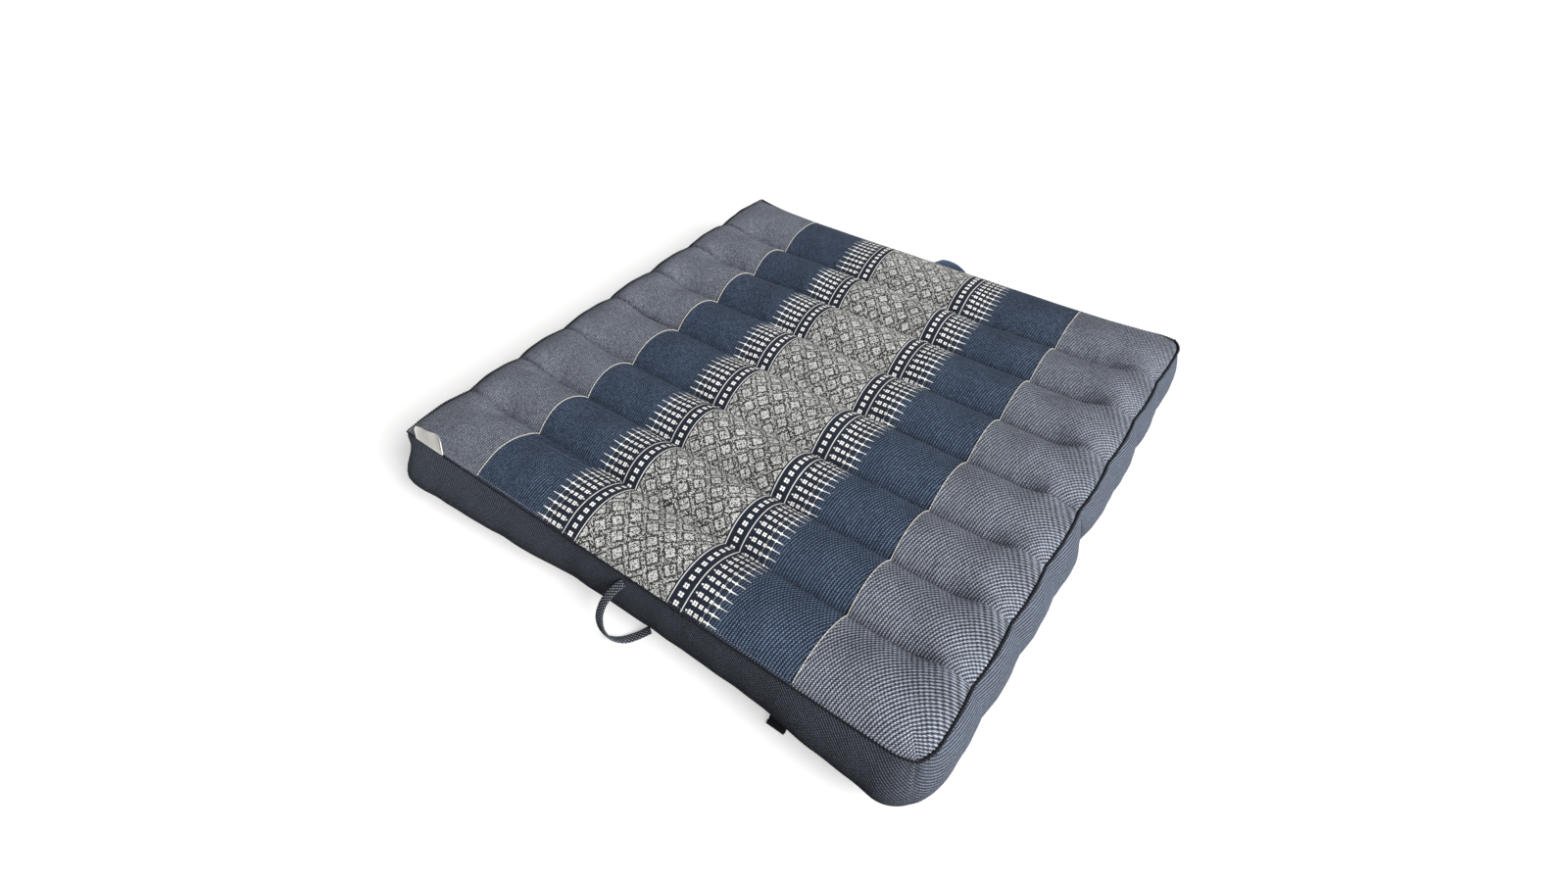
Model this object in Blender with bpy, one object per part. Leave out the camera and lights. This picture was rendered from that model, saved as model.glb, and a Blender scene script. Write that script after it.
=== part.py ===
"""A folding cushion mat: two filled halves of four sewn channels each, under one top cloth.

X runs along the channels, Y across them from the front side to the far side, and Z is up.
The mat lies on the plane z = 0, with the middle of its outline over the origin.
All sizes are in metres.
"""

import math

import bmesh
import bpy
from mathutils import Vector

# The mat
HALF = 0.36                # from the middle to the edge seam, along X and along Y
SEAM_HEIGHT = 0.080        # the top edge seam above the floor
CROWN = 0.016              # the top of a channel above the edge seam
SINK = 0.004               # a channel seam below the edge seam
SIDE_ROLL = 0.055          # how far the left and right edges take to rise to the crown
END_ROLL = 0.047           # the same at the front and far edges, half a channel
SIDE_FULLNESS = 0.7        # under 1 makes the side edges rounder
FAR_FULLNESS = 0.6         # the same at the far edge
SEAM_FADE = (0.012, 0.080) # a channel seam starts and is full at these distances from a side
CHANNEL_POWER = 0.9        # under 1 makes a channel's top fuller
SEAM_WAVE = 0.003          # the edge seam rises and swells this much at a channel's middle
EDGE_POWER = 6             # how closely that wave and the far edge's draw keep to the edges
CORNER = 0.030             # the zone in which a corner turns

# Where the channels are sewn, from the front seam to the far seam
CHANNEL_SEAMS = (-0.360, -0.266, -0.184, -0.102, -0.010, 0.077, 0.167, 0.253, 0.360)
FOLD = CHANNEL_SEAMS[4]
FOLD_ZONE = 0.045          # the fold runs to the sides, and takes this much cloth with it

# Grid lines within a channel, as fractions of its width
END_ROWS = (0.12, 0.26, 0.42, 0.60, 0.76, 0.90)
INNER_ROWS = (0.10, 0.27, 0.50, 0.73, 0.90)
FOLD_ROWS = (0.10, 0.27, 0.50, 0.73, 0.90, 0.957, 0.985)
SIDE_LINES = (0.060, 0.115, 0.170, 0.226, 0.268, 0.300, 0.320, 0.335, 0.348, HALF)
WALL_LINES = (0.0, 0.10, 0.28, 0.50, 0.72, 0.90, 1.0)

# The boxing strip: how far each side swells past the edge seam, at places along that side
SWELL_COLUMNS = ("place", "front", "far", "left", "right")
SWELL_ROWS = (
    (-0.36, 0.026, 0.022, 0.004, 0.013),
    (-0.32, 0.034, 0.021, 0.010, 0.014),
    (-0.25, 0.030, 0.020, 0.014, 0.016),
    (-0.14, 0.023, 0.018, 0.015, 0.017),
    (-0.06, 0.014, 0.015, 0.013, 0.017),
    (-0.01, 0.013, 0.014, 0.011, 0.011),
    (0.05, 0.012, 0.014, 0.014, 0.015),
    (0.08, 0.012, 0.014, 0.015, 0.016),
    (0.17, 0.013, 0.018, 0.014, 0.013),
    (0.28, 0.023, 0.020, 0.014, 0.010),
    (0.36, 0.029, 0.018, 0.014, 0.006),
)
WALL_POWER = 0.8           # under 1 keeps the swell full where the wall is low
FAR_DRAW = 0.016           # the far edge is drawn in this much between its corners
FAR_DRAW_POWER = 3         # how closely that draw keeps to the far edge
FOOT_HEIGHT = 0.008        # the lower seam above the floor
FOOT_OUT = 0.002           # the lower seam past the edge seam
FOOT_ROLL = 0.030          # how far inwards the underside takes to reach the floor
# How square each corner of the edge seam is: its side, its end, then 0 for round to 1 for square
CORNER_ROWS = (
    (-1, -1, 1.0),
    (-1, 1, 1.1),
    (1, 1, 0.15),
    (1, -1, 0.35),
)
CORNER_EASE = 0.30         # the part of the wall's height over which a square corner turns round

# The parting between the two halves, open to the floor
PARTING_HEIGHT = 0.060
PARTING_REACH = 0.030
PARTING_POWER = 7.0

# Trims
CLEAR = 0.0004             # between neighbouring pieces
WELT_RADIUS = 0.0018
WELT_SIDES = 2             # resolution of the welt's section
TRIM_RADIUS = 0.0009
TRIM_PLACES = {"trim_left": -0.226, "trim_right": 0.226}
TRIM_END = 0.006           # a trim stops this far inside the edge seam
STEEPEST = math.radians(38.0)    # a trim is lifted so that it clears a slope like this

# Carrying loops: a flat strap from the edge seam out to the floor and back to the lower seam
STRAP_WIDTH = 0.0115
STRAP_THICK = 0.0030
STRAP_STEPS = 3            # grid cells between two route points
STRAP_SLIM = 0.45          # its edges' thickness as a part of its middle's
# Columns: along X, out from the edge seam, up from the floor
NEAR_ROUTE = (
    (0.017, 0.0049, 0.0755),
    (0.013, 0.0160, 0.0710),
    (0.008, 0.0280, 0.0600),
    (0.006, 0.0370, 0.0430),
    (0.008, 0.0400, 0.0240),
    (0.014, 0.0370, 0.0090),
    (0.023, 0.0280, 0.0021),
    (0.032, 0.0160, 0.0024),
    (0.040, 0.0035, 0.0058),
)
FAR_ROUTE = (
    (-0.012, 0.0050, 0.0755),
    (-0.014, 0.0170, 0.0730),
    (-0.008, 0.0310, 0.0680),
    (0.006, 0.0420, 0.0600),
    (0.022, 0.0465, 0.0480),
    (0.034, 0.0450, 0.0300),
    (0.040, 0.0380, 0.0120),
    (0.041, 0.0240, 0.0026),
    (0.040, 0.0020, 0.0058),
)

# The folded label in the front edge seam, and the webbing tab under the front edge
LABEL_FROM = -0.337
LABEL_WIDTH = 0.048
LABEL_RISE = (0.021, 0.029) # at its left and right end
LABEL_ROUND = 0.005
LABEL_THICK = 0.0012
LABEL_LEAN = math.radians(8.0)
TAB_MIDDLE = 0.214
TAB_WIDTH = 0.022
TAB_THICK = 0.0024
TAB_ROUTE = (
    (0.0, 0.0011, 0.0061),
    (0.0, 0.0050, 0.0046),
    (0.0, 0.0090, 0.0024),
    (0.0, 0.0130, 0.0013),
)


def clear_scene():
    """Remove every object that the scene starts with."""
    for item in list(bpy.data.objects):
        bpy.data.objects.remove(item, do_unlink=True)


def cloth(name, colour, roughness):
    """A plain cloth material."""
    material = bpy.data.materials.new(name)
    material.use_nodes = True
    shader = material.node_tree.nodes["Principled BSDF"]
    shader.inputs["Base Color"].default_value = (*colour, 1.0)
    shader.inputs["Roughness"].default_value = roughness
    shader.inputs["Metallic"].default_value = 0.0
    return material


def add_object(name, data, material, collection):
    """Put a mesh or a curve in the collection under its own name."""
    item = bpy.data.objects.new(name, data)
    collection.objects.link(item)
    data.materials.append(material)
    return item


def between(rows, place, column):
    """Read a column of a table at a place, with a smooth step from row to row."""
    if place <= rows[0][0]:
        return rows[0][column]
    for low, high in zip(rows, rows[1:]):
        if place <= high[0]:
            part = (place - low[0]) / (high[0] - low[0])
            part = part * part * (3.0 - 2.0 * part)
            return low[column] + (high[column] - low[column]) * part
    return rows[-1][column]


def ease(value, low, high):
    """A smooth step from 0 at low to 1 at high."""
    part = min(max((value - low) / (high - low), 0.0), 1.0)
    return part * part * (3.0 - 2.0 * part)


def channel_swell(y):
    """0 on a sewn line and 1 at a channel's middle."""
    for low, high in zip(CHANNEL_SEAMS, CHANNEL_SEAMS[1:]):
        if y <= high:
            part = (y - low) / (high - low)
            return max(4.0 * part * (1.0 - part), 0.0) ** CHANNEL_POWER
    return 0.0


def rise(distance, reach):
    """0 at an edge seam and 1 once the cloth has risen to its crown, as a half parabola."""
    part = min(distance / reach, 1.0)
    return 1.0 - (1.0 - part) ** 2


def side_wave(y):
    """The edge seam's wave along a side, between -0.5 and 0.5."""
    return channel_swell(y) - 0.5


def seam_height(x, y):
    """Height of the edge seam beside a place, with the wave that the channels' ends give it."""
    at_side = (abs(x) / HALF) ** EDGE_POWER
    return SEAM_HEIGHT + SEAM_WAVE * side_wave(y) * at_side * rise(HALF - abs(y), END_ROLL)


def top_height(x, y):
    """Height of the top cloth: a crown over the mat, less the dips at the sewn lines."""
    side = HALF - abs(x)
    end = HALF - abs(y)
    end_rise = rise(end, END_ROLL) ** (FAR_FULLNESS if y > 0.0 else 1.0)
    dome = rise(side, SIDE_ROLL) ** SIDE_FULLNESS * end_rise
    in_end_roll = y < CHANNEL_SEAMS[0] + END_ROLL or y > CHANNEL_SEAMS[-1] - END_ROLL
    dip = 0.0 if in_end_roll else 1.0 - channel_swell(y)
    fade = ease(side, *SEAM_FADE)
    if abs(y - FOLD) < FOLD_ZONE:
        fade = max(fade, ease(side, 0.0, SEAM_FADE[0]))
    return seam_height(x, y) + CROWN * dome - (CROWN + SINK) * dip * fade


def underside_height(x, y):
    """Height of the underside: flat, rolled up at its rim, and parted at the fold."""
    rim = min(HALF - abs(x), HALF - abs(y)) / FOOT_ROLL
    roll = FOOT_HEIGHT * max(1.0 - rim, 0.0) ** 2
    apart = min(abs(y - FOLD) / PARTING_REACH, 1.0)
    return max(roll, PARTING_HEIGHT * (1.0 - apart) ** PARTING_POWER)


def squareness(x, y, down):
    """How square the outline is in this corner, at a depth down the wall from 0 to 1."""
    for side, end, square in CORNER_ROWS:
        if x * side > 0.0 and y * end > 0.0:
            return square * (1.0 - ease(down, 0.0, CORNER_EASE))
    return 0.0


def swell(x, y):
    """How far the boxing strip swells past the edge seam beside a place, along X and along Y."""
    side = "right" if x > 0.0 else "left"
    end = "far" if y > 0.0 else "front"
    height = (seam_height(x, y) - underside_height(x, y)) / (SEAM_HEIGHT - FOOT_HEIGHT)
    fullness = max(height, 0.0) ** WALL_POWER
    side_part = between(SWELL_ROWS, y, SWELL_COLUMNS.index(side))
    end_part = between(SWELL_ROWS, x, SWELL_COLUMNS.index(end))
    return Vector((side_part, end_part)) * fullness


def footprint(x, y, out, down):
    """Move a grid place to the mat's outline.

    out is how far it is pushed past the edge seam along X and along Y, at a depth down the wall.
    """
    over = HALF - CORNER
    core = Vector((min(max(x, -over), over), min(max(y, -over), over)))
    past = Vector((x, y)) - core
    if past.x and past.y:
        square = squareness(x, y, down)
        past *= square + (1.0 - square) * max(abs(past.x), abs(past.y)) / past.length
    place = core + past
    if past.length:
        place += Vector((past.x * out.x, past.y * out.y)) / past.length
    place.x += math.copysign(SEAM_WAVE * channel_swell(y) * (abs(x) / HALF) ** EDGE_POWER, x)
    if y > 0.0:
        place.y -= FAR_DRAW * (1.0 - (x / HALF) ** EDGE_POWER) * (y / HALF) ** FAR_DRAW_POWER
    return place


def wall_point(x, y, down):
    """A place on the boxing strip: down is 0 at the edge seam and 1 at the lower seam."""
    out = swell(x, y) * math.sin(math.pi * down) + Vector((FOOT_OUT, FOOT_OUT)) * down
    place = footprint(x, y, out, down)
    height = seam_height(x, y) * (1.0 - down) + underside_height(x, y) * down
    return Vector((place.x, place.y, height))


def top_point(x, y):
    """A place on the top cloth."""
    place = footprint(x, y, Vector((0.0, 0.0)), 0.0)
    return Vector((place.x, place.y, top_height(x, y)))


def underside_point(x, y):
    """A place on the underside."""
    on_rim = max(abs(x), abs(y)) > HALF - 1e-6
    out = FOOT_OUT if on_rim else 0.0
    place = footprint(x, y, Vector((out, out)), 1.0)
    return Vector((place.x, place.y, underside_height(x, y)))


def row_places():
    """The grid's places along Y: every sewn line, and the rows of each channel."""
    places = [CHANNEL_SEAMS[0]]
    last = len(CHANNEL_SEAMS) - 2
    for number, (low, high) in enumerate(zip(CHANNEL_SEAMS, CHANNEL_SEAMS[1:])):
        if number == 0:
            rows = END_ROWS
        elif number == last:
            rows = tuple(1.0 - row for row in reversed(END_ROWS))
        elif high == FOLD:
            rows = FOLD_ROWS
        elif low == FOLD:
            rows = tuple(1.0 - row for row in reversed(FOLD_ROWS))
        else:
            rows = INNER_ROWS
        places += [low + (high - low) * row for row in rows]
        places.append(high)
    return places


def line_places():
    """The grid's places along X, the same on both sides of the middle."""
    return [-place for place in reversed(SIDE_LINES)] + [0.0] + list(SIDE_LINES)


def cell_box(counts):
    """A cube cut into whole cells along X, Y and Z, one unit to a cell."""
    shape = bmesh.new()
    bmesh.ops.create_cube(shape, size=1.0)
    bmesh.ops.translate(shape, verts=shape.verts, vec=(0.5, 0.5, 0.5))
    bmesh.ops.scale(shape, verts=shape.verts, vec=counts)
    for axis, count in enumerate(counts):
        normal = Vector((0.0, 0.0, 0.0))
        normal[axis] = 1.0
        for cut in range(1, count):
            everything = shape.verts[:] + shape.edges[:] + shape.faces[:]
            bmesh.ops.bisect_plane(shape, geom=everything, plane_co=normal * cut, plane_no=normal)
    return shape


def finished_mesh(name, shape):
    """Turn a bmesh into a smooth-shaded mesh."""
    mesh = bpy.data.meshes.new(name)
    shape.to_mesh(mesh)
    shape.free()
    mesh.shade_smooth()
    return mesh


def build_cushion(material, collection):
    """The filled mat: a cell box whose top, sides and underside move to their cloths."""
    lines = line_places()
    rows = row_places()
    layers = len(WALL_LINES) - 1
    shape = cell_box((len(lines) - 1, len(rows) - 1, layers))
    for vert in shape.verts:
        x = lines[round(vert.co.x)]
        y = rows[round(vert.co.y)]
        layer = round(vert.co.z)
        if layer == layers:
            vert.co = top_point(x, y)
        elif layer == 0:
            vert.co = underside_point(x, y)
        else:
            vert.co = wall_point(x, y, WALL_LINES[layers - layer])
    return add_object("cushion", finished_mesh("cushion", shape), material, collection)


def outline_places():
    """The grid places around the edge seam, anticlockwise from the left front corner."""
    lines = line_places()
    rows = row_places()
    front = [(x, rows[0]) for x in lines[:-1]]
    right = [(lines[-1], y) for y in rows[:-1]]
    far = [(x, rows[-1]) for x in reversed(lines[1:])]
    left = [(lines[0], y) for y in reversed(rows[1:])]
    return front + right + far + left


def outward(before, here, after):
    """The level direction away from the mat, longer at a corner so that a cord keeps its distance."""
    first = (here - before).to_2d().normalized()
    second = (after - here).to_2d().normalized()
    both = Vector((first.y + second.y, -first.x - second.x, 0.0))
    return both / (1.0 + first.dot(second))


def beside_seam(direction):
    """From the edge seam to the welt's middle line, half way between up and a level direction."""
    return (direction + Vector((0.0, 0.0, 1.0))) * (WELT_RADIUS + CLEAR) / math.sqrt(2.0)


def build_tube(name, points, radius, sides, closed, material, collection):
    """A round cord along a run of points."""
    curve = bpy.data.curves.new(name, "CURVE")
    curve.dimensions = "3D"
    curve.bevel_depth = radius
    curve.bevel_resolution = sides
    curve.use_fill_caps = not closed
    spline = curve.splines.new("POLY")
    spline.points.add(len(points) - 1)
    for slot, point in zip(spline.points, points):
        slot.co = (*point, 1.0)
    spline.use_cyclic_u = closed
    return add_object(name, curve, material, collection)


def build_welt(material, collection):
    """The cord round the edge seam."""
    seam = [top_point(x, y) for x, y in outline_places()]
    neighbours = zip(seam[-1:] + seam[:-1], seam, seam[1:] + seam[:1])
    points = [here + beside_seam(outward(before, here, after)) for before, here, after in neighbours]
    return build_tube("edge_welt", points, WELT_RADIUS, WELT_SIDES, True, material, collection)


def build_trim(name, place, material, collection):
    """A thin trim that follows the channels from the front seam to the far seam."""
    lift = (TRIM_RADIUS + CLEAR) / math.cos(STEEPEST)
    rows = [y for y in row_places() if abs(y) < HALF - TRIM_END]
    points = [top_point(place, y) + Vector((0.0, 0.0, lift)) for y in rows]
    return build_tube(name, points, TRIM_RADIUS, 1, False, material, collection)


def smooth_route(points, steps):
    """A smooth curve through the route's points, with a few steps from each to the next."""
    ends = [points[0] * 2 - points[1]] + points + [points[-1] * 2 - points[-2]]
    route = []
    for a, b, c, d in zip(ends, ends[1:], ends[2:], ends[3:]):
        for step in range(steps):
            t = step / steps
            route.append(0.5 * (2 * b + (c - a) * t + (2 * a - 5 * b + 4 * c - d) * t * t
                                + (3 * b - a - 3 * c + d) * t ** 3))
    route.append(points[-1])
    return route


def build_strap(name, route, width, thick, material, collection):
    """A flat strap: a cell box laid along a route, its width level along X."""
    shape = cell_box((2, len(route) - 1, 2))
    for vert in shape.verts:
        number = round(vert.co.y)
        before = route[max(number - 1, 0)]
        after = route[min(number + 1, len(route) - 1)]
        ahead = (after - before).normalized()
        across = Vector((1.0, 0.0, 0.0))
        across = (across - ahead * across.dot(ahead)).normalized()
        over = across.cross(ahead)
        side = vert.co.x - 1.0
        face = vert.co.z - 1.0
        slim = STRAP_SLIM if side else 1.0
        vert.co = route[number] + across * side * width / 2 + over * face * slim * thick / 2
    return add_object(name, finished_mesh(name, shape), material, collection)


def strap_route(rows, middle, way):
    """Turn a table of places along, out from the edge seam and up into points.

    middle is the route's place along X, and way is -1 at the front and 1 at the far side.
    """
    seam = top_point(middle, way * HALF).y
    return [Vector((middle + along, seam + way * out, up)) for along, out, up in rows]


def build_handles(material, collection):
    """The carrying loops at the middle of the front and of the far side."""
    for name, rows, way in (("handle_near", NEAR_ROUTE, -1), ("handle_far", FAR_ROUTE, 1)):
        route = smooth_route(strap_route(rows, 0.0, way), STRAP_STEPS)
        build_strap(name, route, STRAP_WIDTH, STRAP_THICK, material, collection)


def build_tab(material, collection):
    """The short webbing tab that comes out from under the front edge."""
    route = smooth_route(strap_route(TAB_ROUTE, TAB_MIDDLE, -1), 2)
    build_strap("strap_tab", route, TAB_WIDTH, TAB_THICK, material, collection)


def build_label(material, collection):
    """The folded label: a flat outline with two round corners, stood up on the welt."""
    curve = bpy.data.curves.new("label", "CURVE")
    curve.dimensions = "2D"
    curve.fill_mode = "BOTH"
    curve.extrude = LABEL_THICK / 2
    low_left, low_right = LABEL_RISE
    start = top_point(LABEL_FROM, -HALF) + beside_seam(Vector((0.0, -1.0, 0.0)))
    end = top_point(LABEL_FROM + LABEL_WIDTH, -HALF) + beside_seam(Vector((0.0, -1.0, 0.0)))
    outline = [Vector((0.0, 0.0)), Vector((LABEL_WIDTH, end.z - start.z))]
    for middle_x, height, first in ((LABEL_WIDTH - LABEL_ROUND, low_right, 0), (LABEL_ROUND, low_left, 90)):
        middle = Vector((middle_x, height - LABEL_ROUND))
        for turn in range(0, 91, 30):
            angle = math.radians(first + turn)
            outline.append(middle + LABEL_ROUND * Vector((math.cos(angle), math.sin(angle))))
    spline = curve.splines.new("POLY")
    spline.points.add(len(outline) - 1)
    for slot, point in zip(spline.points, outline):
        slot.co = (point.x, point.y, 0.0, 1.0)
    spline.use_cyclic_u = True
    label = add_object("label", curve, material, collection)
    lift = WELT_RADIUS + CLEAR + LABEL_THICK / 2 * math.sin(LABEL_LEAN)
    label.location = start + Vector((0.0, 0.0, lift))
    label.rotation_euler = (math.pi / 2 + LABEL_LEAN, 0.0, 0.0)
    return label


def main():
    """Build every piece of the mat."""
    clear_scene()
    collection = bpy.data.collections.new("folding_cushion_mat")
    bpy.context.scene.collection.children.link(collection)
    blue_grey = cloth("blue_grey_cloth", (0.14, 0.17, 0.22), 0.9)
    dark_cord = cloth("dark_cord", (0.01, 0.013, 0.022), 0.85)
    pale_cord = cloth("pale_cord", (0.56, 0.52, 0.43), 0.85)
    strap_cloth = cloth("strap_cloth", (0.06, 0.07, 0.10), 0.9)
    white_tape = cloth("white_tape", (0.80, 0.80, 0.78), 0.7)
    black_webbing = cloth("black_webbing", (0.008, 0.008, 0.009), 0.8)
    build_cushion(blue_grey, collection)
    build_welt(dark_cord, collection)
    for name, place in TRIM_PLACES.items():
        build_trim(name, place, pale_cord, collection)
    build_handles(strap_cloth, collection)
    build_tab(black_webbing, collection)
    build_label(white_tape, collection)


main()
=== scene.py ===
"""The looks of a folding cushion mat: filled channels, woven top cloth, welt, trims and loops.

X runs along the channels, Y across them from the front side to the far side, and Z is up.
Sizes are in metres, and the print's own sizes in millimetres.
"""
import logging
import math
from dataclasses import dataclass, field
from enum import Enum

import bpy
import numpy as np
from mathutils import Matrix, Vector


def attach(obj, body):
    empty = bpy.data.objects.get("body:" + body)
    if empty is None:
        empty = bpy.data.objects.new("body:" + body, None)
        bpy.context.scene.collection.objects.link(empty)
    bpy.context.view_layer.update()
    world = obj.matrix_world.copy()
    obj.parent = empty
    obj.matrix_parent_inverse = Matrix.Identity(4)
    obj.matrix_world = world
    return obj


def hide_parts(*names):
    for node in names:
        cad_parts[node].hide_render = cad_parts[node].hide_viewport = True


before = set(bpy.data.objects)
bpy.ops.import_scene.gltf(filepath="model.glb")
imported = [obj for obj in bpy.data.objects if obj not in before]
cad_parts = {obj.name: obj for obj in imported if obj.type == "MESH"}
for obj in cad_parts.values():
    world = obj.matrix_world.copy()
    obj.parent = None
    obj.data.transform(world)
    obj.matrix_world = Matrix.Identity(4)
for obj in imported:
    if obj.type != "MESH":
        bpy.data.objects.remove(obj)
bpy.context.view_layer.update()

LOG = logging.getLogger("folding_mat")
CLOTH_MAP = "cloth"
WEAVE_MAP = "weave"
PAINTED_SHADING = "painted_shading"                         # painted light and shade, a number at each vertex


# Shader maths


class Signal:
    """A node's output that takes part in sums as a number does."""

    def __init__(self, dye: "Dye", socket: bpy.types.NodeSocket) -> None:
        """Wrap a socket of a material that is being made."""
        self.dye = dye
        self.socket = socket

    def math(self, operation: str, *others: "Signal | float", swapped: bool = False) -> "Signal":
        """Add a Math node.

        Args:
            operation: the node's operation.
            others: the other inputs.
            swapped: puts this signal last instead of first.

        Returns:
            The node's output.
        """
        values = (*others, self) if swapped else (self, *others)
        node = self.dye.node("ShaderNodeMath", {"operation": operation}, dict(enumerate(values)))
        return Signal(self.dye, node.outputs[0])

    def __add__(self, other: "Signal | float") -> "Signal":
        """Sum."""
        return self.math("ADD", other)

    def __radd__(self, other: float) -> "Signal":
        """Reflected sum."""
        return self.math("ADD", other)

    def __sub__(self, other: "Signal | float") -> "Signal":
        """Difference."""
        return self.math("SUBTRACT", other)

    def __rsub__(self, other: float) -> "Signal":
        """Reflected difference."""
        return self.math("SUBTRACT", other, swapped=True)

    def __mul__(self, other: "Signal | float") -> "Signal":
        """Product."""
        return self.math("MULTIPLY", other)

    def __rmul__(self, other: float) -> "Signal":
        """Reflected product."""
        return self.math("MULTIPLY", other)

    def __truediv__(self, other: "Signal | float") -> "Signal":
        """Quotient."""
        return self.math("DIVIDE", other)

    def __rtruediv__(self, other: float) -> "Signal":
        """Reflected quotient."""
        return self.math("DIVIDE", other, swapped=True)

    def __abs__(self) -> "Signal":
        """Size without sign."""
        return self.math("ABSOLUTE")

    def over(self, low: float, high: float) -> "Signal":
        """0 at low and 1 at high, straight in between; high may be the smaller one."""
        node = self.dye.node("ShaderNodeMapRange", {"clamp": True}, {
            "Value": self, "From Min": low, "From Max": high, "To Min": 0.0, "To Max": 1.0})
        return Signal(self.dye, node.outputs["Result"])

    def floor(self) -> "Signal":
        """The whole number below."""
        return self.math("FLOOR")

    def sine(self) -> "Signal":
        """Sine of the signal in radians."""
        return self.math("SINE")

    def fold(self, reach: float) -> "Signal":
        """Up from 0 to reach and down again, over and over."""
        return self.math("PINGPONG", reach)

    def most(self, other: "Signal | float") -> "Signal":
        """The larger one."""
        return self.math("MAXIMUM", other)

    def below(self, other: "Signal | float") -> "Signal":
        """1 where this is the smaller one, otherwise 0."""
        return self.math("LESS_THAN", other)


def hypotenuse(a: Signal, b: Signal) -> Signal:
    """The distance from zero: the root of the sum of squares."""
    return (a * a + b * b).math("SQRT")


class Dye:
    """A material that is being made: it holds the nodes and the shader."""

    def __init__(self, name: str) -> None:
        """Start a material with its Principled shader."""
        self.material = bpy.data.materials.new(name)
        self.material.use_nodes = True
        self.tree = self.material.node_tree
        self.shader = self.tree.nodes["Principled BSDF"]

    def node(self, kind: str, settings: dict, values: dict) -> bpy.types.Node:
        """Make a node.

        Args:
            kind: the node's type.
            settings: its own settings, set first.
            values: numbers, colours or signals for its inputs, by name or number.

        Returns:
            The node.
        """
        node = self.tree.nodes.new(kind)
        for name, value in settings.items():
            setattr(node, name, value)
        for key, value in values.items():
            if isinstance(value, Signal):
                self.tree.links.new(value.socket, node.inputs[key])
            else:
                node.inputs[key].default_value = value
        return node

    def map_place(self, name: str) -> tuple[Signal, Signal]:
        """The two numbers of a map.

        Args:
            name: the map's name.

        Returns:
            Its two numbers as signals.
        """
        place = self.node("ShaderNodeUVMap", {"uv_map": name}, {})
        parts = self.node("ShaderNodeSeparateXYZ", {}, {0: Signal(self, place.outputs[0])})
        return Signal(self, parts.outputs[0]), Signal(self, parts.outputs[1])

    def cloth_place(self) -> tuple[Signal, Signal]:
        """The place on the cloth before it was filled, in millimetres."""
        across, along = self.map_place(CLOTH_MAP)
        return across * 1000.0, along * 1000.0

    def number(self, name: str) -> Signal:
        """A number that the mesh holds at each vertex."""
        node = self.node("ShaderNodeAttribute", {"attribute_name": name}, {})
        return Signal(self, node.outputs["Fac"])

    def weave_waves(self) -> tuple[Signal, Signal]:
        """The two waves of the weave, each from -1 to 1: the map holds them in whole turns."""
        first, second = self.map_place(WEAVE_MAP)
        return (first * math.tau).sine(), (second * math.tau).sine()

    def vector(self, x: Signal, y: Signal) -> Signal:
        """A vector of two signals."""
        return Signal(self, self.node("ShaderNodeCombineXYZ", {}, {0: x, 1: y}).outputs[0])

    def noise(self, place: Signal, scale: float, detail: float = 2.0) -> Signal:
        """Smooth noise around a half.

        Args:
            place: where to read it.
            scale: how fine it is.
            detail: how many finer layers it has.

        Returns:
            The noise, from 0 to 1.
        """
        node = self.node("ShaderNodeTexNoise", {"noise_dimensions": "3D"}, {
            "Vector": place, "Scale": scale, "Detail": detail, "Roughness": 0.55})
        return Signal(self, node.outputs["Fac"])

    def speck(self, place: Signal) -> Signal:
        """A number for each whole place, even from 0 to 1."""
        node = self.node("ShaderNodeTexWhiteNoise", {"noise_dimensions": "2D"}, {"Vector": place})
        return Signal(self, node.outputs["Value"])

    def mix(self, share: Signal | float, first: "Signal | tuple", second: "Signal | tuple") -> Signal:
        """A colour between two.

        Args:
            share: 0 gives the first colour and 1 the second.
            first: a colour.
            second: a colour.

        Returns:
            The mixed colour.
        """
        node = self.node("ShaderNodeMix", {"data_type": "RGBA"}, {
            0: share, 6: rgba(first), 7: rgba(second)})
        return Signal(self, node.outputs[2])

    def shade(self, colour: Signal, amount: Signal) -> Signal:
        """A colour made darker or lighter by a number around 1."""
        node = self.node("ShaderNodeVectorMath", {"operation": "SCALE"}, {0: colour, "Scale": amount})
        return Signal(self, node.outputs[0])

    def ramp(self, value: Signal, tones: list[float]) -> Signal:
        """Read a given chart: one tone to a step, sharp in between.

        Args:
            value: where to read the chart, from 0 to 1.
            tones: the steps' tones.

        Returns:
            The tone at that place.
        """
        node = self.node("ShaderNodeValToRGB", {}, {"Fac": value})
        node.color_ramp.interpolation = "CONSTANT"
        steps = node.color_ramp.elements
        while len(steps) < len(tones):
            steps.new(0.5)
        for number, tone in enumerate(tones):
            steps[number].position = number / len(tones)
            steps[number].color = (tone, tone, tone, 1.0)
        return Signal(self, node.outputs["Color"])

    def finish(self, colour: Signal, roughness: "Signal | float", relief: Signal,
               depth: float) -> bpy.types.Material:
        """Feed the shader.

        Args:
            colour: the base colour.
            roughness: the roughness.
            relief: a height from 0 to 1.
            depth: the height of 1, in metres.

        Returns:
            The material.
        """
        bump = self.node("ShaderNodeBump", {}, {"Strength": 1.0, "Distance": depth, "Height": relief})
        self.tree.links.new(bump.outputs[0], self.shader.inputs["Normal"])
        self.tree.links.new(colour.socket, self.shader.inputs["Base Color"])
        if isinstance(roughness, Signal):
            self.tree.links.new(roughness.socket, self.shader.inputs["Roughness"])
        else:
            self.shader.inputs["Roughness"].default_value = roughness
        self.shader.inputs["Specular IOR Level"].default_value = 0.25
        return self.material


def rgba(colour: "Signal | tuple") -> "Signal | tuple":
    """A colour with its fourth number."""
    return colour if isinstance(colour, Signal) else (*colour, 1.0)


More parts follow.
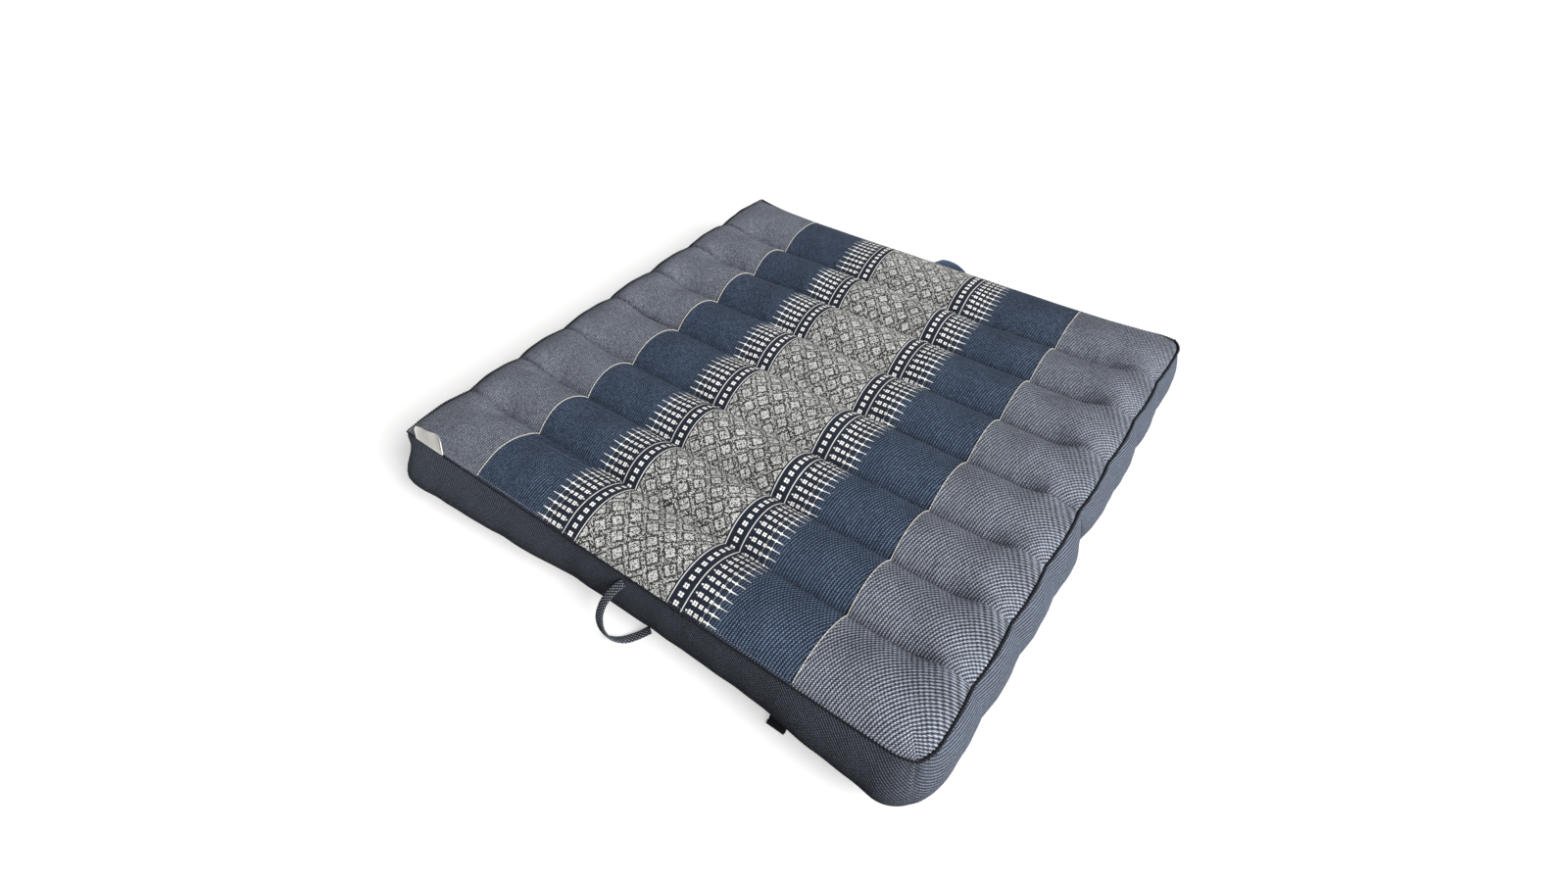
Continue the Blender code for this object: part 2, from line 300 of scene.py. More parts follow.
def linear(red: int, green: int, blue: int) -> tuple[float, float, float]:
    """A screen colour from 0 to 255 as the shader's own numbers."""
    return tuple((c / 255 / 12.92) if c < 11 else ((c / 255 + 0.055) / 1.055) ** 2.4
                 for c in (red, green, blue))


# Finishes


@dataclass(frozen=True)
class TopCloth:
    """The woven top cloth: grey, navy, fringe, border and brocade, the same on both sides of a line.

    Its sizes are millimetres from the pattern's middle line.
    """

    drift: float = -10.0            # how far the middle line moves from the front to the far side
    start: float = 6.0              # where it starts
    length: float = 800.0
    brocade: float = 64.5
    lines: tuple[float, float] = (66.9, 85.7)
    line_width: float = 0.50
    pitch: float = 9.8              # from one row of the fringe to the next
    thread: float = 0.6             # the step in which a motif is woven
    fringe: float = 129.5
    fine: float = 1.05              # the brocade's finest thread
    chart_thread: tuple[float, float] = (1.5, 1.475)    # across and along
    repeat: tuple[float, float] = (17.0, 20.0)          # in such threads
    # how pale the brocade is, ring by ring
    rings: tuple = (0.0, 0.5, 0.88, 0.7, 0.92, 0.76, 0.0, 0.0, 0.52, 0.36, 0.50, 0.40,
                    0.0, 0.0, 0.78, 0.92, 0.7, 0.88, 0.25, 0.0)
    # middle, spread and petal of the border's flower and of each flower of the fringe
    rosette: tuple[float, float, float] = (76.3, 1.54, 1.30)
    flowers: tuple = ((95.0, 1.42, 1.16), (102.5, 1.24, 1.02), (109.2, 1.06, 0.88))
    spike: tuple[float, float] = (112.5, 129.0)
    cross: float = 117.8
    trim: float = 226.5
    grey: tuple = linear(74, 77, 85)
    grey_dot: tuple = linear(158, 167, 183)
    grey_gap: tuple = linear(6, 7, 11)
    navy: tuple = linear(31, 39, 53)
    navy_dot: tuple = linear(100, 121, 151)
    navy_gap: tuple = linear(5, 8, 16)
    ground: tuple = linear(19, 25, 38)
    white: tuple = linear(240, 240, 236)
    brocade_white: tuple = linear(190, 190, 187)
    brocade_dark: tuple = linear(8, 9, 13)

    def blossom(self, out: Signal, along: Signal, middle: float, spread: float, size: float) -> Signal:
        """A four-petalled flower: four discs round a hole.

        Args:
            out: distance from the pattern's middle line.
            along: distance from the row's own line.
            middle: the flower's place.
            spread: how far each petal's centre lies from the flower's, both ways.
            size: a petal's radius.

        Returns:
            1 in the flower, otherwise 0.
        """
        across = abs(out - middle)
        petal = hypotenuse(across - spread, along - spread * 0.88).over(size + 0.25, size - 0.25)
        return petal * hypotenuse(across, along).over(spread * 0.35, spread * 0.75)

    def diamond(self, out: Signal, along: Signal, middle: float, reach: float, height: float) -> Signal:
        """A lozenge: 1 where the two distances, each over its own reach, add up to less than 1."""
        return (abs(out - middle) / reach + along / height).over(1.12, 0.88)

    def fringe_motif(self, out: Signal, along: Signal) -> Signal:
        """One prong: a bud, three flowers that get smaller, and a long thin cross.

        Args:
            out: distance from the pattern's middle line.
            along: distance from the row's own line.

        Returns:
            1 in the prong and 0.8 in its bud, otherwise 0.
        """
        motif = self.diamond(out, along, 90.2, 1.6, 1.1) * 0.8
        for middle, spread, size in self.flowers:
            motif = motif.most(self.blossom(out, along, middle, spread, size))
        motif = motif.most(self.diamond(out, along, self.cross, 1.6, 2.3))
        tip = out.over(self.spike[1] + 4.0, self.spike[0]) * 0.80
        point = (tip - along).over(-0.12, 0.12) * out.over(self.spike[0] - 0.5, self.spike[0])
        return motif.most(point * out.below(self.spike[1]))

    def brocade_tone(self, dye: Dye, across: Signal, along: Signal) -> Signal:
        """The middle's chart, in threads: pale lozenges in dark outlines on a half-pale ground.

        The repeat is 17 by 20 threads. A thread's ring is the sum of its distances from the repeat's
        middle both ways: the low rings are a flower with four petals and the last ones a second one.
        Each finer thread is pale by chance, more often where the chart is pale.

        Args:
            dye: the material being made.
            across: distance from the pattern's middle line, with its sign.
            along: distance from the front.

        Returns:
            0 in a dark thread, 1 in the palest.
        """
        column = (across / self.chart_thread[0]).floor()
        row = (along / self.chart_thread[1]).floor()
        sideways = (column + 0.5).fold(self.repeat[0] / 2.0)
        endways = (row + 0.5).fold(self.repeat[1] / 2.0)
        ring = sideways + endways
        chart = dye.ramp((ring + 0.5) / float(len(self.rings)), list(self.rings))
        between_petals = abs(sideways - endways * 0.85).below(0.75) * ring.below(4.5)
        chart = chart * (1.0 - between_petals * 0.6)
        fine_column = (across / self.fine).floor()
        fine_row = (along / self.fine).floor()
        chance = dye.speck(dye.vector(fine_column, fine_row))
        pale = chance.below(chart * 0.84 + 0.05)
        second = dye.speck(dye.vector(fine_row + 0.37, fine_column + 0.61))
        return pale * (second * 0.22 + 0.78) + (1.0 - pale) * second * 0.10

    def material(self) -> bpy.types.Material:
        """Make the cloth's material.

        Returns:
            The material.
        """
        dye = Dye("top_cloth")
        across, along = dye.cloth_place()
        middle = along * (self.drift / self.length) + self.start
        from_middle = across - middle
        stepped = (from_middle / self.thread).floor() * self.thread + self.thread / 2
        out = abs(stepped)
        plain_out = abs(from_middle)
        row = (along / self.thread).floor() * self.thread
        row = (row / self.pitch).math("FRACT")
        from_row = abs(row - 0.5) * self.pitch

        # White motifs on the dark ground
        motif = self.fringe_motif(out, from_row)
        motif = motif.most(self.blossom(out, from_row, *self.rosette))
        twist = (along * (math.tau / 1.7)).sine() * 0.16
        for place in self.lines:
            line = abs(plain_out - place).over(self.line_width + 0.25, self.line_width - 0.15)
            motif = motif.most(line * (0.70 + twist))
        floats = abs(plain_out - self.cross).below(0.4) + abs(plain_out - 109.6).below(0.4)
        motif = motif.most(floats * 0.20 * plain_out.below(self.fringe))

        # Plain weave: a lattice of pale dots, with painted light: the dots stand out more at the right and
        # the front
        place = dye.vector(across, along)
        first, second = dye.weave_waves()
        # painted light: the weave's contrast grows towards the right and the front
        plain = across.over(-560.0, 330.0) * along.over(1250.0, 0.0) * 1.12
        grain = dye.speck(dye.vector((across / 1.25).floor(), (along / 1.1).floor())) - 0.5
        mottle = dye.noise(place, 0.9, 3.0) - 0.5
        weave = (first * 0.72 + first * second * 0.75) * plain + grain * 0.60 + mottle * 0.5
        pale = weave.over(0.0, 1.05)
        gap = weave.over(0.0, -0.85)
        grey = dye.mix(gap * 0.97, dye.mix(pale * 0.90, self.grey, self.grey_dot), self.grey_gap)
        navy = dye.mix(gap * 0.90, dye.mix(pale * 0.85, self.navy, self.navy_dot), self.navy_gap)
        band = abs(across).over(self.trim - 0.3, self.trim + 0.3)
        colour = dye.mix(band, navy, grey)

        # The dark ground of fringe and border
        edge = (plain_out + mottle * 8.0).over(self.fringe - 3.0, self.fringe - 20.0)
        ground = dye.mix(pale * 0.25, self.ground, self.navy)
        colour = dye.mix(edge, colour, ground)
        colour = dye.mix(motif * plain_out.below(self.fringe + 2.0), colour, self.white)

        # The brocade
        tone = self.brocade_tone(dye, from_middle, along)
        inside = plain_out.below(self.brocade)
        brocade = dye.mix(tone, self.brocade_dark, self.brocade_white)
        colour = dye.mix(inside, colour, brocade)
        # a slow random tone, and lighter towards the left back
        slow_tone = dye.noise(place, 0.03, 1.0) * 0.12 + 0.94
        slow_tone = slow_tone + across.over(-180.0, -340.0) * along.over(0.0, 700.0) * 0.16
        # the top's painted light and shade, times its slow tone
        colour = dye.shade(colour, slow_tone * dye.number(PAINTED_SHADING))
        relief = (weave * 0.35 + 0.4) * (1.0 - inside) + tone * inside * 0.8
        relief = relief + motif * (1.0 - inside) * 0.6
        return dye.finish(colour, 0.86 - tone * inside * 0.12, relief, 0.0004)


@dataclass(frozen=True)
class SideCloth:
    """The plain twill of the boxing and the underside."""

    body: tuple = linear(49, 53, 60)
    ridge: tuple = linear(102, 111, 128)
    gap: tuple = linear(8, 9, 12)

    def material(self) -> bpy.types.Material:
        """Make the cloth's material.

        Returns:
            The material.
        """
        dye = Dye("side_cloth")
        along, up = dye.cloth_place()
        place = dye.vector(along, up)
        first, second = dye.weave_waves()
        grain = dye.speck(dye.vector((along / 1.25).floor(), (up / 1.1).floor())) - 0.5
        mottle = dye.noise(place, 0.7, 3.0) - 0.5
        weave = first * 0.70 + first * second * 0.45 + grain * 0.5 + mottle * 0.4
        colour = dye.mix(weave.over(0.0, 1.0) * 0.8, self.body, self.ridge)
        colour = dye.mix(weave.over(0.0, -1.0) * 0.8, colour, self.gap)
        # a slow random tone, times the painted shade on the front side and the painted light on the others
        colour = dye.shade(colour, (dye.noise(place, 0.03, 2.0) * 0.24 + 0.88) * dye.number(PAINTED_SHADING))
        return dye.finish(colour, 0.88, weave * 0.4 + 0.5, 0.0004)


@dataclass(frozen=True)
class CordFinish:
    """A cord, tape or strap: two tones in a small check that follows the piece's own map."""

    name: str
    dark: tuple
    light: tuple
    across_pitch: float
    along_pitch: float
    contrast: float = 0.8
    depth: float = 0.0003
    dots: float = -0.9              # the higher, the smaller and rarer the light dots

    def material(self) -> bpy.types.Material:
        """Make the finish's material.

        Returns:
            The material.
        """
        dye = Dye(self.name)
        along, across = dye.cloth_place()
        lengthways = (along * (math.tau / self.along_pitch)).sine()
        check = lengthways * (across * (math.tau / self.across_pitch)).sine()
        mottle = dye.noise(dye.vector(along, across), 0.8, 2.0) - 0.5
        share = (check * 0.8 + mottle * 0.9).over(self.dots, 0.9)
        colour = dye.mix((share - 0.5) * self.contrast + 0.5, self.dark, self.light)
        return dye.finish(colour, 0.9, share, self.depth)


# Shapes


def smooth_table(rows: tuple, place: np.ndarray, column: int) -> np.ndarray:
    """Read a table's column at many places, with a smooth step from row to row.

    Args:
        rows: the table, its first column the places.
        place: where to read it.
        column: which column.

    Returns:
        The values.
    """
    table = np.array(rows)
    low = np.clip(np.searchsorted(table[:, 0], place) - 1, 0, len(table) - 2)
    part = np.clip((place - table[low, 0]) / (table[low + 1, 0] - table[low, 0]), 0.0, 1.0)
    part = part * part * (3.0 - 2.0 * part)
    return table[low, column] + (table[low + 1, column] - table[low, column]) * part


def ease(value: np.ndarray, low: float, high: float) -> np.ndarray:
    """A smooth step from 0 at low to 1 at high."""
    part = np.clip((value - low) / (high - low), 0.0, 1.0)
    return part * part * (3.0 - 2.0 * part)


def bell(value: np.ndarray, width: float) -> np.ndarray:
    """1 at zero, falling away on both sides as a bell curve of that width."""
    return np.exp(-(value / width) ** 2)


@dataclass
class MatForm:
    """The filled mat's own shape, as the solid's, with the cloth's small puckers added.

    The top is a crown over the mat less a cusp at each sewn line; a channel between two lines is a
    parabola to a power. The sides are a half sine past the edge seam, as deep as the table says.
    """

    half: float = 0.36
    seam: float = 0.080
    crown: float = 0.016
    sink: float = 0.004
    side_roll: float = 0.055
    end_roll: float = 0.047
    side_fullness: float = 0.7
    far_fullness: float = 0.6
    seam_fade: tuple[float, float] = (0.012, 0.080)
    right_fade: tuple[float, float] = (0.014, 0.070)
    dimple: float = 0.048           # from the right edge to where a sewn line runs out
    channel_power: float = 0.9
    seam_wave: float = 0.003
    edge_power: int = 6
    corner: float = 0.030
    channels: tuple = (-0.360, -0.266, -0.184, -0.102, -0.010, 0.077, 0.167, 0.253, 0.360)
    fold_number: int = 4
    fold_zone: float = 0.045
    # place, then how far the front, far, left and right side swell there
    swells: tuple = (
        (-0.36, 0.026, 0.022, 0.004, 0.013),
        (-0.32, 0.034, 0.021, 0.010, 0.014),
        (-0.25, 0.030, 0.020, 0.014, 0.016),
        (-0.14, 0.023, 0.018, 0.015, 0.017),
        (-0.06, 0.014, 0.015, 0.013, 0.017),
        (-0.01, 0.013, 0.014, 0.011, 0.011),
        (0.05, 0.012, 0.014, 0.014, 0.015),
        (0.08, 0.012, 0.014, 0.015, 0.016),
        (0.17, 0.013, 0.018, 0.014, 0.013),
        (0.28, 0.023, 0.020, 0.014, 0.010),
        (0.36, 0.029, 0.018, 0.014, 0.006),
    )
    wall_power: float = 0.8
    far_draw: float = 0.016
    far_draw_power: int = 3
    foot_height: float = 0.008
    foot_out: float = 0.002
    foot_roll: float = 0.030
    # side, end and squareness of each corner
    corners: tuple = ((-1, -1, 1.0), (-1, 1, 1.1), (1, 1, 0.15), (1, -1, 0.35))
    corner_ease: float = 0.30
    parting_height: float = 0.060
    parting_reach: float = 0.030
    parting_power: float = 7.0

    @property
    def fold(self) -> float:
        """Where the mat folds."""
        return self.channels[self.fold_number]

    def swelling(self, y: np.ndarray) -> np.ndarray:
        """0 on a sewn line and 1 at a channel's middle: 4 t (1 - t) to a power.

        Args:
            y: places along Y.

        Returns:
            The swelling, 0 to 1.
        """
        lines = np.array(self.channels)
        low = np.clip(np.searchsorted(lines, y) - 1, 0, len(lines) - 2)
        part = (y - lines[low]) / (lines[low + 1] - lines[low])
        return np.maximum(4.0 * part * (1.0 - part), 0.0) ** self.channel_power

    @staticmethod
    def rise(distance: np.ndarray, reach: float) -> np.ndarray:
        """0 at an edge and 1 at its reach: half a parabola."""
        return 1.0 - (1.0 - np.minimum(distance / reach, 1.0)) ** 2

    def seam_height(self, x: np.ndarray, y: np.ndarray) -> np.ndarray:
        """The edge seam's height, with a wave along the two sides where the channels end.

        Args:
            x: places along X.
            y: places along Y.

        Returns:
            The heights.
        """
        at_side = (np.abs(x) / self.half) ** self.edge_power
        wave = (self.swelling(y) - 0.5) * self.rise(self.half - np.abs(y), self.end_roll)
        return self.seam + self.seam_wave * wave * at_side

    def top_height(self, x: np.ndarray, y: np.ndarray) -> np.ndarray:
        """The crown less the dips.

        Args:
            x: places along X.
            y: places along Y.

        Returns:
            The heights, without the puckers.
        """
        side = self.half - np.abs(x)
        end = self.half - np.abs(y)
        end_rise = self.rise(end, self.end_roll) ** np.where(y > 0.0, self.far_fullness, 1.0)
        dome = self.rise(side, self.side_roll) ** self.side_fullness * end_rise
        in_end = (y < self.channels[0] + self.end_roll) | (y > self.channels[-1] - self.end_roll)
        dip = np.where(in_end, 0.0, 1.0 - self.swelling(y))
        fade = np.where(x > 0.0, ease(side, *self.right_fade), ease(side, *self.seam_fade))
        near_fold = (np.abs(y - self.fold) < self.fold_zone) & (x > 0.0)
        fade = np.where(near_fold, np.maximum(fade, 0.35 * ease(side, 0.0, self.seam_fade[0])), fade)
        return self.seam_height(x, y) + self.crown * dome - (self.crown + self.sink) * dip * fade

    def under_height(self, x: np.ndarray, y: np.ndarray) -> np.ndarray:
        """The underside: flat, rolled up at its rim and parted under the fold.

        Args:
            x: places along X.
            y: places along Y.

        Returns:
            The heights.
        """
        rim = np.minimum(self.half - np.abs(x), self.half - np.abs(y)) / self.foot_roll
        roll = self.foot_height * np.maximum(1.0 - rim, 0.0) ** 2
        apart = np.minimum(np.abs(y - self.fold) / self.parting_reach, 1.0)
        return np.maximum(roll, self.parting_height * (1.0 - apart) ** self.parting_power)

    def swell(self, x: np.ndarray, y: np.ndarray) -> np.ndarray:
        """How far the side swells past the edge seam, along X and along Y.

        Args:
            x: places along X.
            y: places along Y.

        Returns:
            Two depths to a place.
        """
        height = (self.seam_height(x, y) - self.under_height(x, y)) / (self.seam - self.foot_height)
        fullness = np.maximum(height, 0.0) ** self.wall_power
        along_x = np.where(x > 0.0, smooth_table(self.swells, y, 4), smooth_table(self.swells, y, 3))
        along_y = np.where(y > 0.0, smooth_table(self.swells, x, 2), smooth_table(self.swells, x, 1))
        return np.stack([along_x, along_y], -1) * fullness[..., None]

    def footprint(self, x: np.ndarray, y: np.ndarray, out: np.ndarray, down: np.ndarray) -> np.ndarray:
        """Move grid places to the mat's outline.

        Args:
            x: places along X.
            y: places along Y.
            out: how far they are pushed past the edge seam along X and Y.
            down: depth down the side, 0 to 1.

        Returns:
            Places in the plane.
        """
        place = np.stack([x, y], -1)
        over = self.half - self.corner
        core = np.clip(place, -over, over)
        past = place - core
        length = np.linalg.norm(past, axis=-1)
        square = np.zeros_like(x)
        for side, end, amount in self.corners:
            here = (x * side > 0.0) & (y * end > 0.0)
            square = np.where(here, amount * (1.0 - ease(down, 0.0, self.corner_ease)), square)
        both = (np.abs(past[..., 0]) > 0.0) & (np.abs(past[..., 1]) > 0.0)
        round_share = np.abs(past).max(-1) / np.maximum(length, 1e-12)
        past = past * np.where(both, square + (1.0 - square) * round_share, 1.0)[..., None]
        length = np.maximum(np.linalg.norm(past, axis=-1, keepdims=True), 1e-12)
        place = core + past + past / length * out
        wave = self.seam_wave * self.swelling(y) * (np.abs(x) / self.half) ** self.edge_power
        place[..., 0] += np.sign(x) * wave
        draw = self.far_draw * (1.0 - (x / self.half) ** self.edge_power)
        draw = draw * (np.maximum(y, 0.0) / self.half) ** self.far_draw_power
        place[..., 1] -= np.where(y > 0.0, draw, 0.0)
        return place

    def painted_shading(self, x: np.ndarray, y: np.ndarray) -> np.ndarray:
        """How light the cloth looks, around 1.

        Painted light and shade: a channel's front slope is painted lighter than its far slope, more so
        at the right: a sine over the channel. Painted shade darkens the sewn lines, a bell curve, and also
        the dimple where each line runs out and the far edge.

        Args:
            x: places along X.
            y: places along Y.

        Returns:
            A factor for the cloth's colour.
        """
        lines = np.array(self.channels)
        low = np.clip(np.searchsorted(lines, y) - 1, 0, len(lines) - 2)
        part = (y - lines[low]) / (lines[low + 1] - lines[low])
        plain = ease(np.abs(x), 0.050, 0.110)
        right = ease(x, 0.06, 0.20)
        # painted light on each channel's front slope and painted shade on its far slope
        slope = (0.05 + 0.12 * right) * np.sin(math.tau * (part + 0.05))
        inner = (y > self.channels[0] + 0.02) & (y < self.channels[-1] - 0.02)
        # painted shade along the sewn lines
        valley_shade = (0.18 + 0.16 * right) * bell(np.minimum(part, 1.0 - part), 0.045) * inner
        valley_shade = valley_shade * ease(self.half - x, 0.030, 0.080)
        nearest = np.abs(y[..., None] - lines[1:-1]).min(-1)
        # painted shade in the dimple where each sewn line runs out, and along the far edge
        pit_shade = 0.13 * bell(np.hypot((x - self.half + self.dimple) / 1.6, nearest), 0.0075)
        rim = 0.55 * bell(self.half - y, 0.0080)
        return 1.0 + (slope - valley_shade) * (0.05 + 0.95 * plain) - pit_shade - rim

    def side_painted_shading(self, x: np.ndarray, y: np.ndarray) -> np.ndarray:
        """How light the side looks.

        Painted shade darkens the front side and painted light brightens the others, with a soft change
        round each front corner.

        Args:
            x: places along X.
            y: places along Y.

        Returns:
            A factor for the cloth's colour.
        """
        front = self.half + y
        turned = ease(self.half - x - front, -0.040, 0.030) * ease(self.half + x - front, -0.030, 0.030)
        # painted shade on the front, painted light on the left, right and far sides
        return 1.44 - 0.74 * turned

    def puckers(self, x: np.ndarray, y: np.ndarray) -> np.ndarray:
        """The cloth's small ups and downs on top, drawn part by part from the same random numbers.

        Args:
            x: places along X.
            y: places along Y.

        Returns:
            Heights to add to the top's.
        """
        rng = np.random.default_rng(7)
        side = self.half - np.abs(x)
        end = self.half - np.abs(y)
        inside = ease(side, 0.0, 0.02) * ease(end, 0.0, 0.03)
        total = np.zeros_like(x)
        self.add_line_puckers(total, x, y, rng)
        self.add_left_creases(total, x, y, rng)
        self.add_fold_crease(total, x, y)
        self.add_unevenness(total, x, y, rng)
        # Gathers along the edge seam
        gather = np.sin(math.tau * (x + y) / 0.016) + 0.6 * np.sin(math.tau * (x * 0.7 - y) / 0.027)
        at_edge = np.minimum(side, end) / 0.008
        total += 0.00025 * gather * at_edge * np.exp(1.0 - at_edge)
        return total * inside

    def add_line_puckers(self, total: np.ndarray, x: np.ndarray, y: np.ndarray,
                         rng: np.random.Generator) -> None:
        """Add the puckers of each sewn line.

        Beside the line they are sums of sines along it, t exp(1 - t) high at t widths from it. Where
        the line runs out near a side, creases fan out from its end.

        Args:
            total: the heights, added to in place.
            x: places along X.
            y: places along Y.
            rng: the random numbers.
        """
        side = self.half - np.abs(x)
        for number, line in enumerate(self.channels[1:-1], 1):
            away = y - line
            for way in (-1.0, 1.0):
                wave = np.zeros_like(x)
                for length in (0.0085, 0.013, 0.021, 0.034):
                    turned = np.sin(math.tau * x / length + rng.uniform(0.0, math.tau))
                    wave += turned * rng.uniform(0.5, 1.0)
                near = np.maximum(away * way, 0.0) / 0.0055
                amount = 0.00026 * ease(side, 0.02, 0.09)
                total += wave * amount * near * np.exp(1.0 - near)
            for edge, length in ((-1.0, 0.055), (1.0, 0.030)):
                ends_at = edge * (self.half - length - rng.uniform(0.0, 0.02))
                dx = (x - ends_at) * edge
                distance = np.hypot(dx, away)
                angle = np.arctan2(away, dx)
                fan = np.cos(6.0 * angle + rng.uniform(-0.5, 0.5))
                fan = fan * np.maximum(dx / np.maximum(distance, 1e-6), 0.0)
                strength = 0.0004 if number == self.fold_number else 0.0008
                total -= strength * fan * (distance / 0.014) * np.exp(1.0 - distance / 0.014)
            total -= 0.0010 * bell(np.hypot((x - self.half + self.dimple) / 1.6, away), 0.007)
            if number != self.fold_number:
                past = self.half - x
                slant = rng.uniform(-0.06, 0.06)
                runs_out = 1.0 - ease(past, self.dimple - 0.004, self.dimple + 0.010)
                runs_out = ease(past, 0.0, 0.004) * runs_out
                total -= 0.0009 * bell(away - slant * (self.dimple - past), 0.0018) * runs_out

    def add_left_creases(self, total: np.ndarray, x: np.ndarray, y: np.ndarray,
                         rng: np.random.Generator) -> None:
        """Add the crisp creases at the left side, along the sewn lines; the fold's runs on to the valley.

        Args:
            total: the heights, added to in place.
            x: places along X.
            y: places along Y.
            rng: the random numbers.
        """
        for number, line in enumerate(self.channels[1:-1], 1):
            slant = rng.uniform(-0.10, 0.06)
            along = x + self.half
            is_fold = number == self.fold_number
            near = y - line - (0.0 if is_fold else slant * along)
            ends = 1.0 - ease(along, 0.090, 0.130) if is_fold else 1.0 - ease(along, 0.030, 0.058)
            total -= 0.0034 * bell(near, 0.0016) * ease(along, 0.0, 0.004) * ends
            lip = np.maximum(near / 0.006, 0.0)
            total += 0.0009 * lip * np.exp(1.0 - lip) * ends * ease(along, 0.0, 0.01)

    def add_fold_crease(self, total: np.ndarray, x: np.ndarray, y: np.ndarray) -> None:
        """Add the double crease at the fold's right end.

        Args:
            total: the heights, added to in place.
            x: places along X.
            y: places along Y.
        """
        for slant in (-0.22, 0.18):
            along = self.half - x
            crease = bell(y - self.fold - slant * (0.046 - along), 0.0014) * ease(along, 0.0, 0.005)
            total -= 0.0010 * crease * (1.0 - ease(along, 0.030, 0.046))

    def add_unevenness(self, total: np.ndarray, x: np.ndarray, y: np.ndarray,
                       rng: np.random.Generator) -> None:
        """Add the filling's slow unevenness over the whole top.

        Args:
            total: the heights, added to in place.
            x: places along X.
            y: places along Y.
            rng: the random numbers.
        """
        uneven = np.zeros_like(x)
        for _ in range(7):
            way = rng.uniform(-0.5, 0.5)
            length = rng.uniform(0.05, 0.15)
            slanted = x * math.cos(way) + y * 1.6 * math.sin(way)
            uneven += np.sin(math.tau * slanted / length + rng.uniform(0.0, math.tau))
        total += 0.00045 * uneven * (0.3 + 0.7 * self.swelling(y))

    def top(self, x: np.ndarray, y: np.ndarray) -> np.ndarray:
        """Places on the top cloth."""
        place = self.footprint(x, y, np.zeros((*x.shape, 2)), np.zeros_like(x))
        return np.concatenate([place, (self.top_height(x, y) + self.puckers(x, y))[..., None]], -1)

    def side(self, x: np.ndarray, y: np.ndarray, down: np.ndarray) -> np.ndarray:
        """Places on the side, with faint upright folds where the channels end.

        Args:
            x: places along X.
            y: places along Y.
            down: depth down the side, 0 to 1.

        Returns:
            The places.
        """
        bulge = np.sin(math.pi * down)
        out = self.swell(x, y) * bulge[..., None] + self.foot_out * down[..., None]
        folds = 0.0003 * np.sin(math.tau * (x * 1.1 - y) / 0.061)
        folds = folds + 0.0002 * np.sin(math.tau * (x + y * 1.3) / 0.037)
        out = out + (folds * bulge)[..., None]
        # The near corner's dart, and a second crease beside it on the front
        beside = 0.6 * bell(x - self.half + 0.011, 0.0016) * (y < -self.half + 1e-6)
        dart = bell(np.hypot(x - self.half, y + self.half), 0.0035) + beside
        out = out - (0.0030 * dart * ease(down, 0.0, 0.05) * (1.0 - ease(down, 0.12, 0.38)))[..., None]
        place = self.footprint(x, y, out, down)
        height = self.seam_height(x, y) * (1.0 - down) + self.under_height(x, y) * down
        return np.concatenate([place, height[..., None]], -1)

    def under(self, x: np.ndarray, y: np.ndarray) -> np.ndarray:
        """Places on the underside.

        Args:
            x: places along X.
            y: places along Y.

        Returns:
            The places.
        """
        on_rim = np.maximum(np.abs(x), np.abs(y)) > self.half - 1e-9
        out = np.where(on_rim, self.foot_out, 0.0)
        place = self.footprint(x, y, np.stack([out, out], -1), np.ones_like(x))
        return np.concatenate([place, self.under_height(x, y)[..., None]], -1)

    def rows(self, steps: int) -> np.ndarray:
        """Grid places along Y, closer together at the sewn lines: half a cosine to a channel.

        Args:
            steps: how many to a channel.

        Returns:
            The places.
        """
        turn = (1.0 - np.cos(np.linspace(0.0, math.pi, steps + 1))) / 2.0
        even = np.linspace(0.0, 1.0, steps + 1)
        part = 0.70 * turn + 0.30 * even
        places = [np.array([self.channels[0]])]
        for low, high in zip(self.channels, self.channels[1:]):
            places.append(low + (high - low) * part[1:])
        return np.concatenate(places)

    def columns(self, steps: int) -> np.ndarray:
        """Grid places along X, closer together at the two sides."""
        even = np.linspace(-1.0, 1.0, steps + 1)
        return self.half * (0.8 * even + 0.2 * np.sin(even * math.pi / 2.0))


class Piece(Enum):
    """The names of the pieces, and the solid that each one stands for."""

    MAT = "cushion"
    WELT = "edge_welt"
    LEFT_TRIM = "trim_left"
    RIGHT_TRIM = "trim_right"
    NEAR_LOOP = "handle_near"
    FAR_LOOP = "handle_far"
    TAG = "label"
    TAB = "strap_tab"


def new_mesh(name: str, places: np.ndarray, faces: list,
             maps: dict[str, np.ndarray] | None = None) -> bpy.types.Object:
    """Make a smooth mesh object.

    Args:
        name: the object's name.
        places: the vertices.
        faces: the faces' vertex numbers.
        maps: one pair for each face corner, for each map's name.

    Returns:
        The object, at the origin.
    """
    mesh = bpy.data.meshes.new(name)
    mesh.from_pydata(places.reshape(-1, 3).tolist(), [], faces)
    mesh.polygons.foreach_set("use_smooth", np.ones(len(mesh.polygons), bool))
    for map_name, flat_map in (maps or {}).items():
        layer = mesh.uv_layers.new(name=map_name)
        layer.uv.foreach_set("vector", flat_map.astype(np.float32).ravel())
    mesh.update()
    item = bpy.data.objects.new(name, mesh)
    bpy.context.scene.collection.objects.link(item)
    return item


def lengths(path: np.ndarray) -> np.ndarray:
    """How far each place of a path lies along it."""
    return np.concatenate([[0.0], np.cumsum(np.linalg.norm(np.diff(path, axis=0), axis=-1))])


def rim_of(numbers: np.ndarray) -> np.ndarray:
    """The outer numbers of a grid, anticlockwise from its first corner."""
    return np.concatenate([numbers[:-1, 0], numbers[-1, :-1], numbers[:0:-1, -1], numbers[0, :0:-1]])


def grid_faces(numbers: np.ndarray) -> np.ndarray:
    """Faces between neighbouring rows and columns of a grid of vertex numbers."""
    corners = [numbers[:-1, :-1], numbers[1:, :-1], numbers[1:, 1:], numbers[:-1, 1:]]
    return np.stack(corners, -1).reshape(-1, 4)


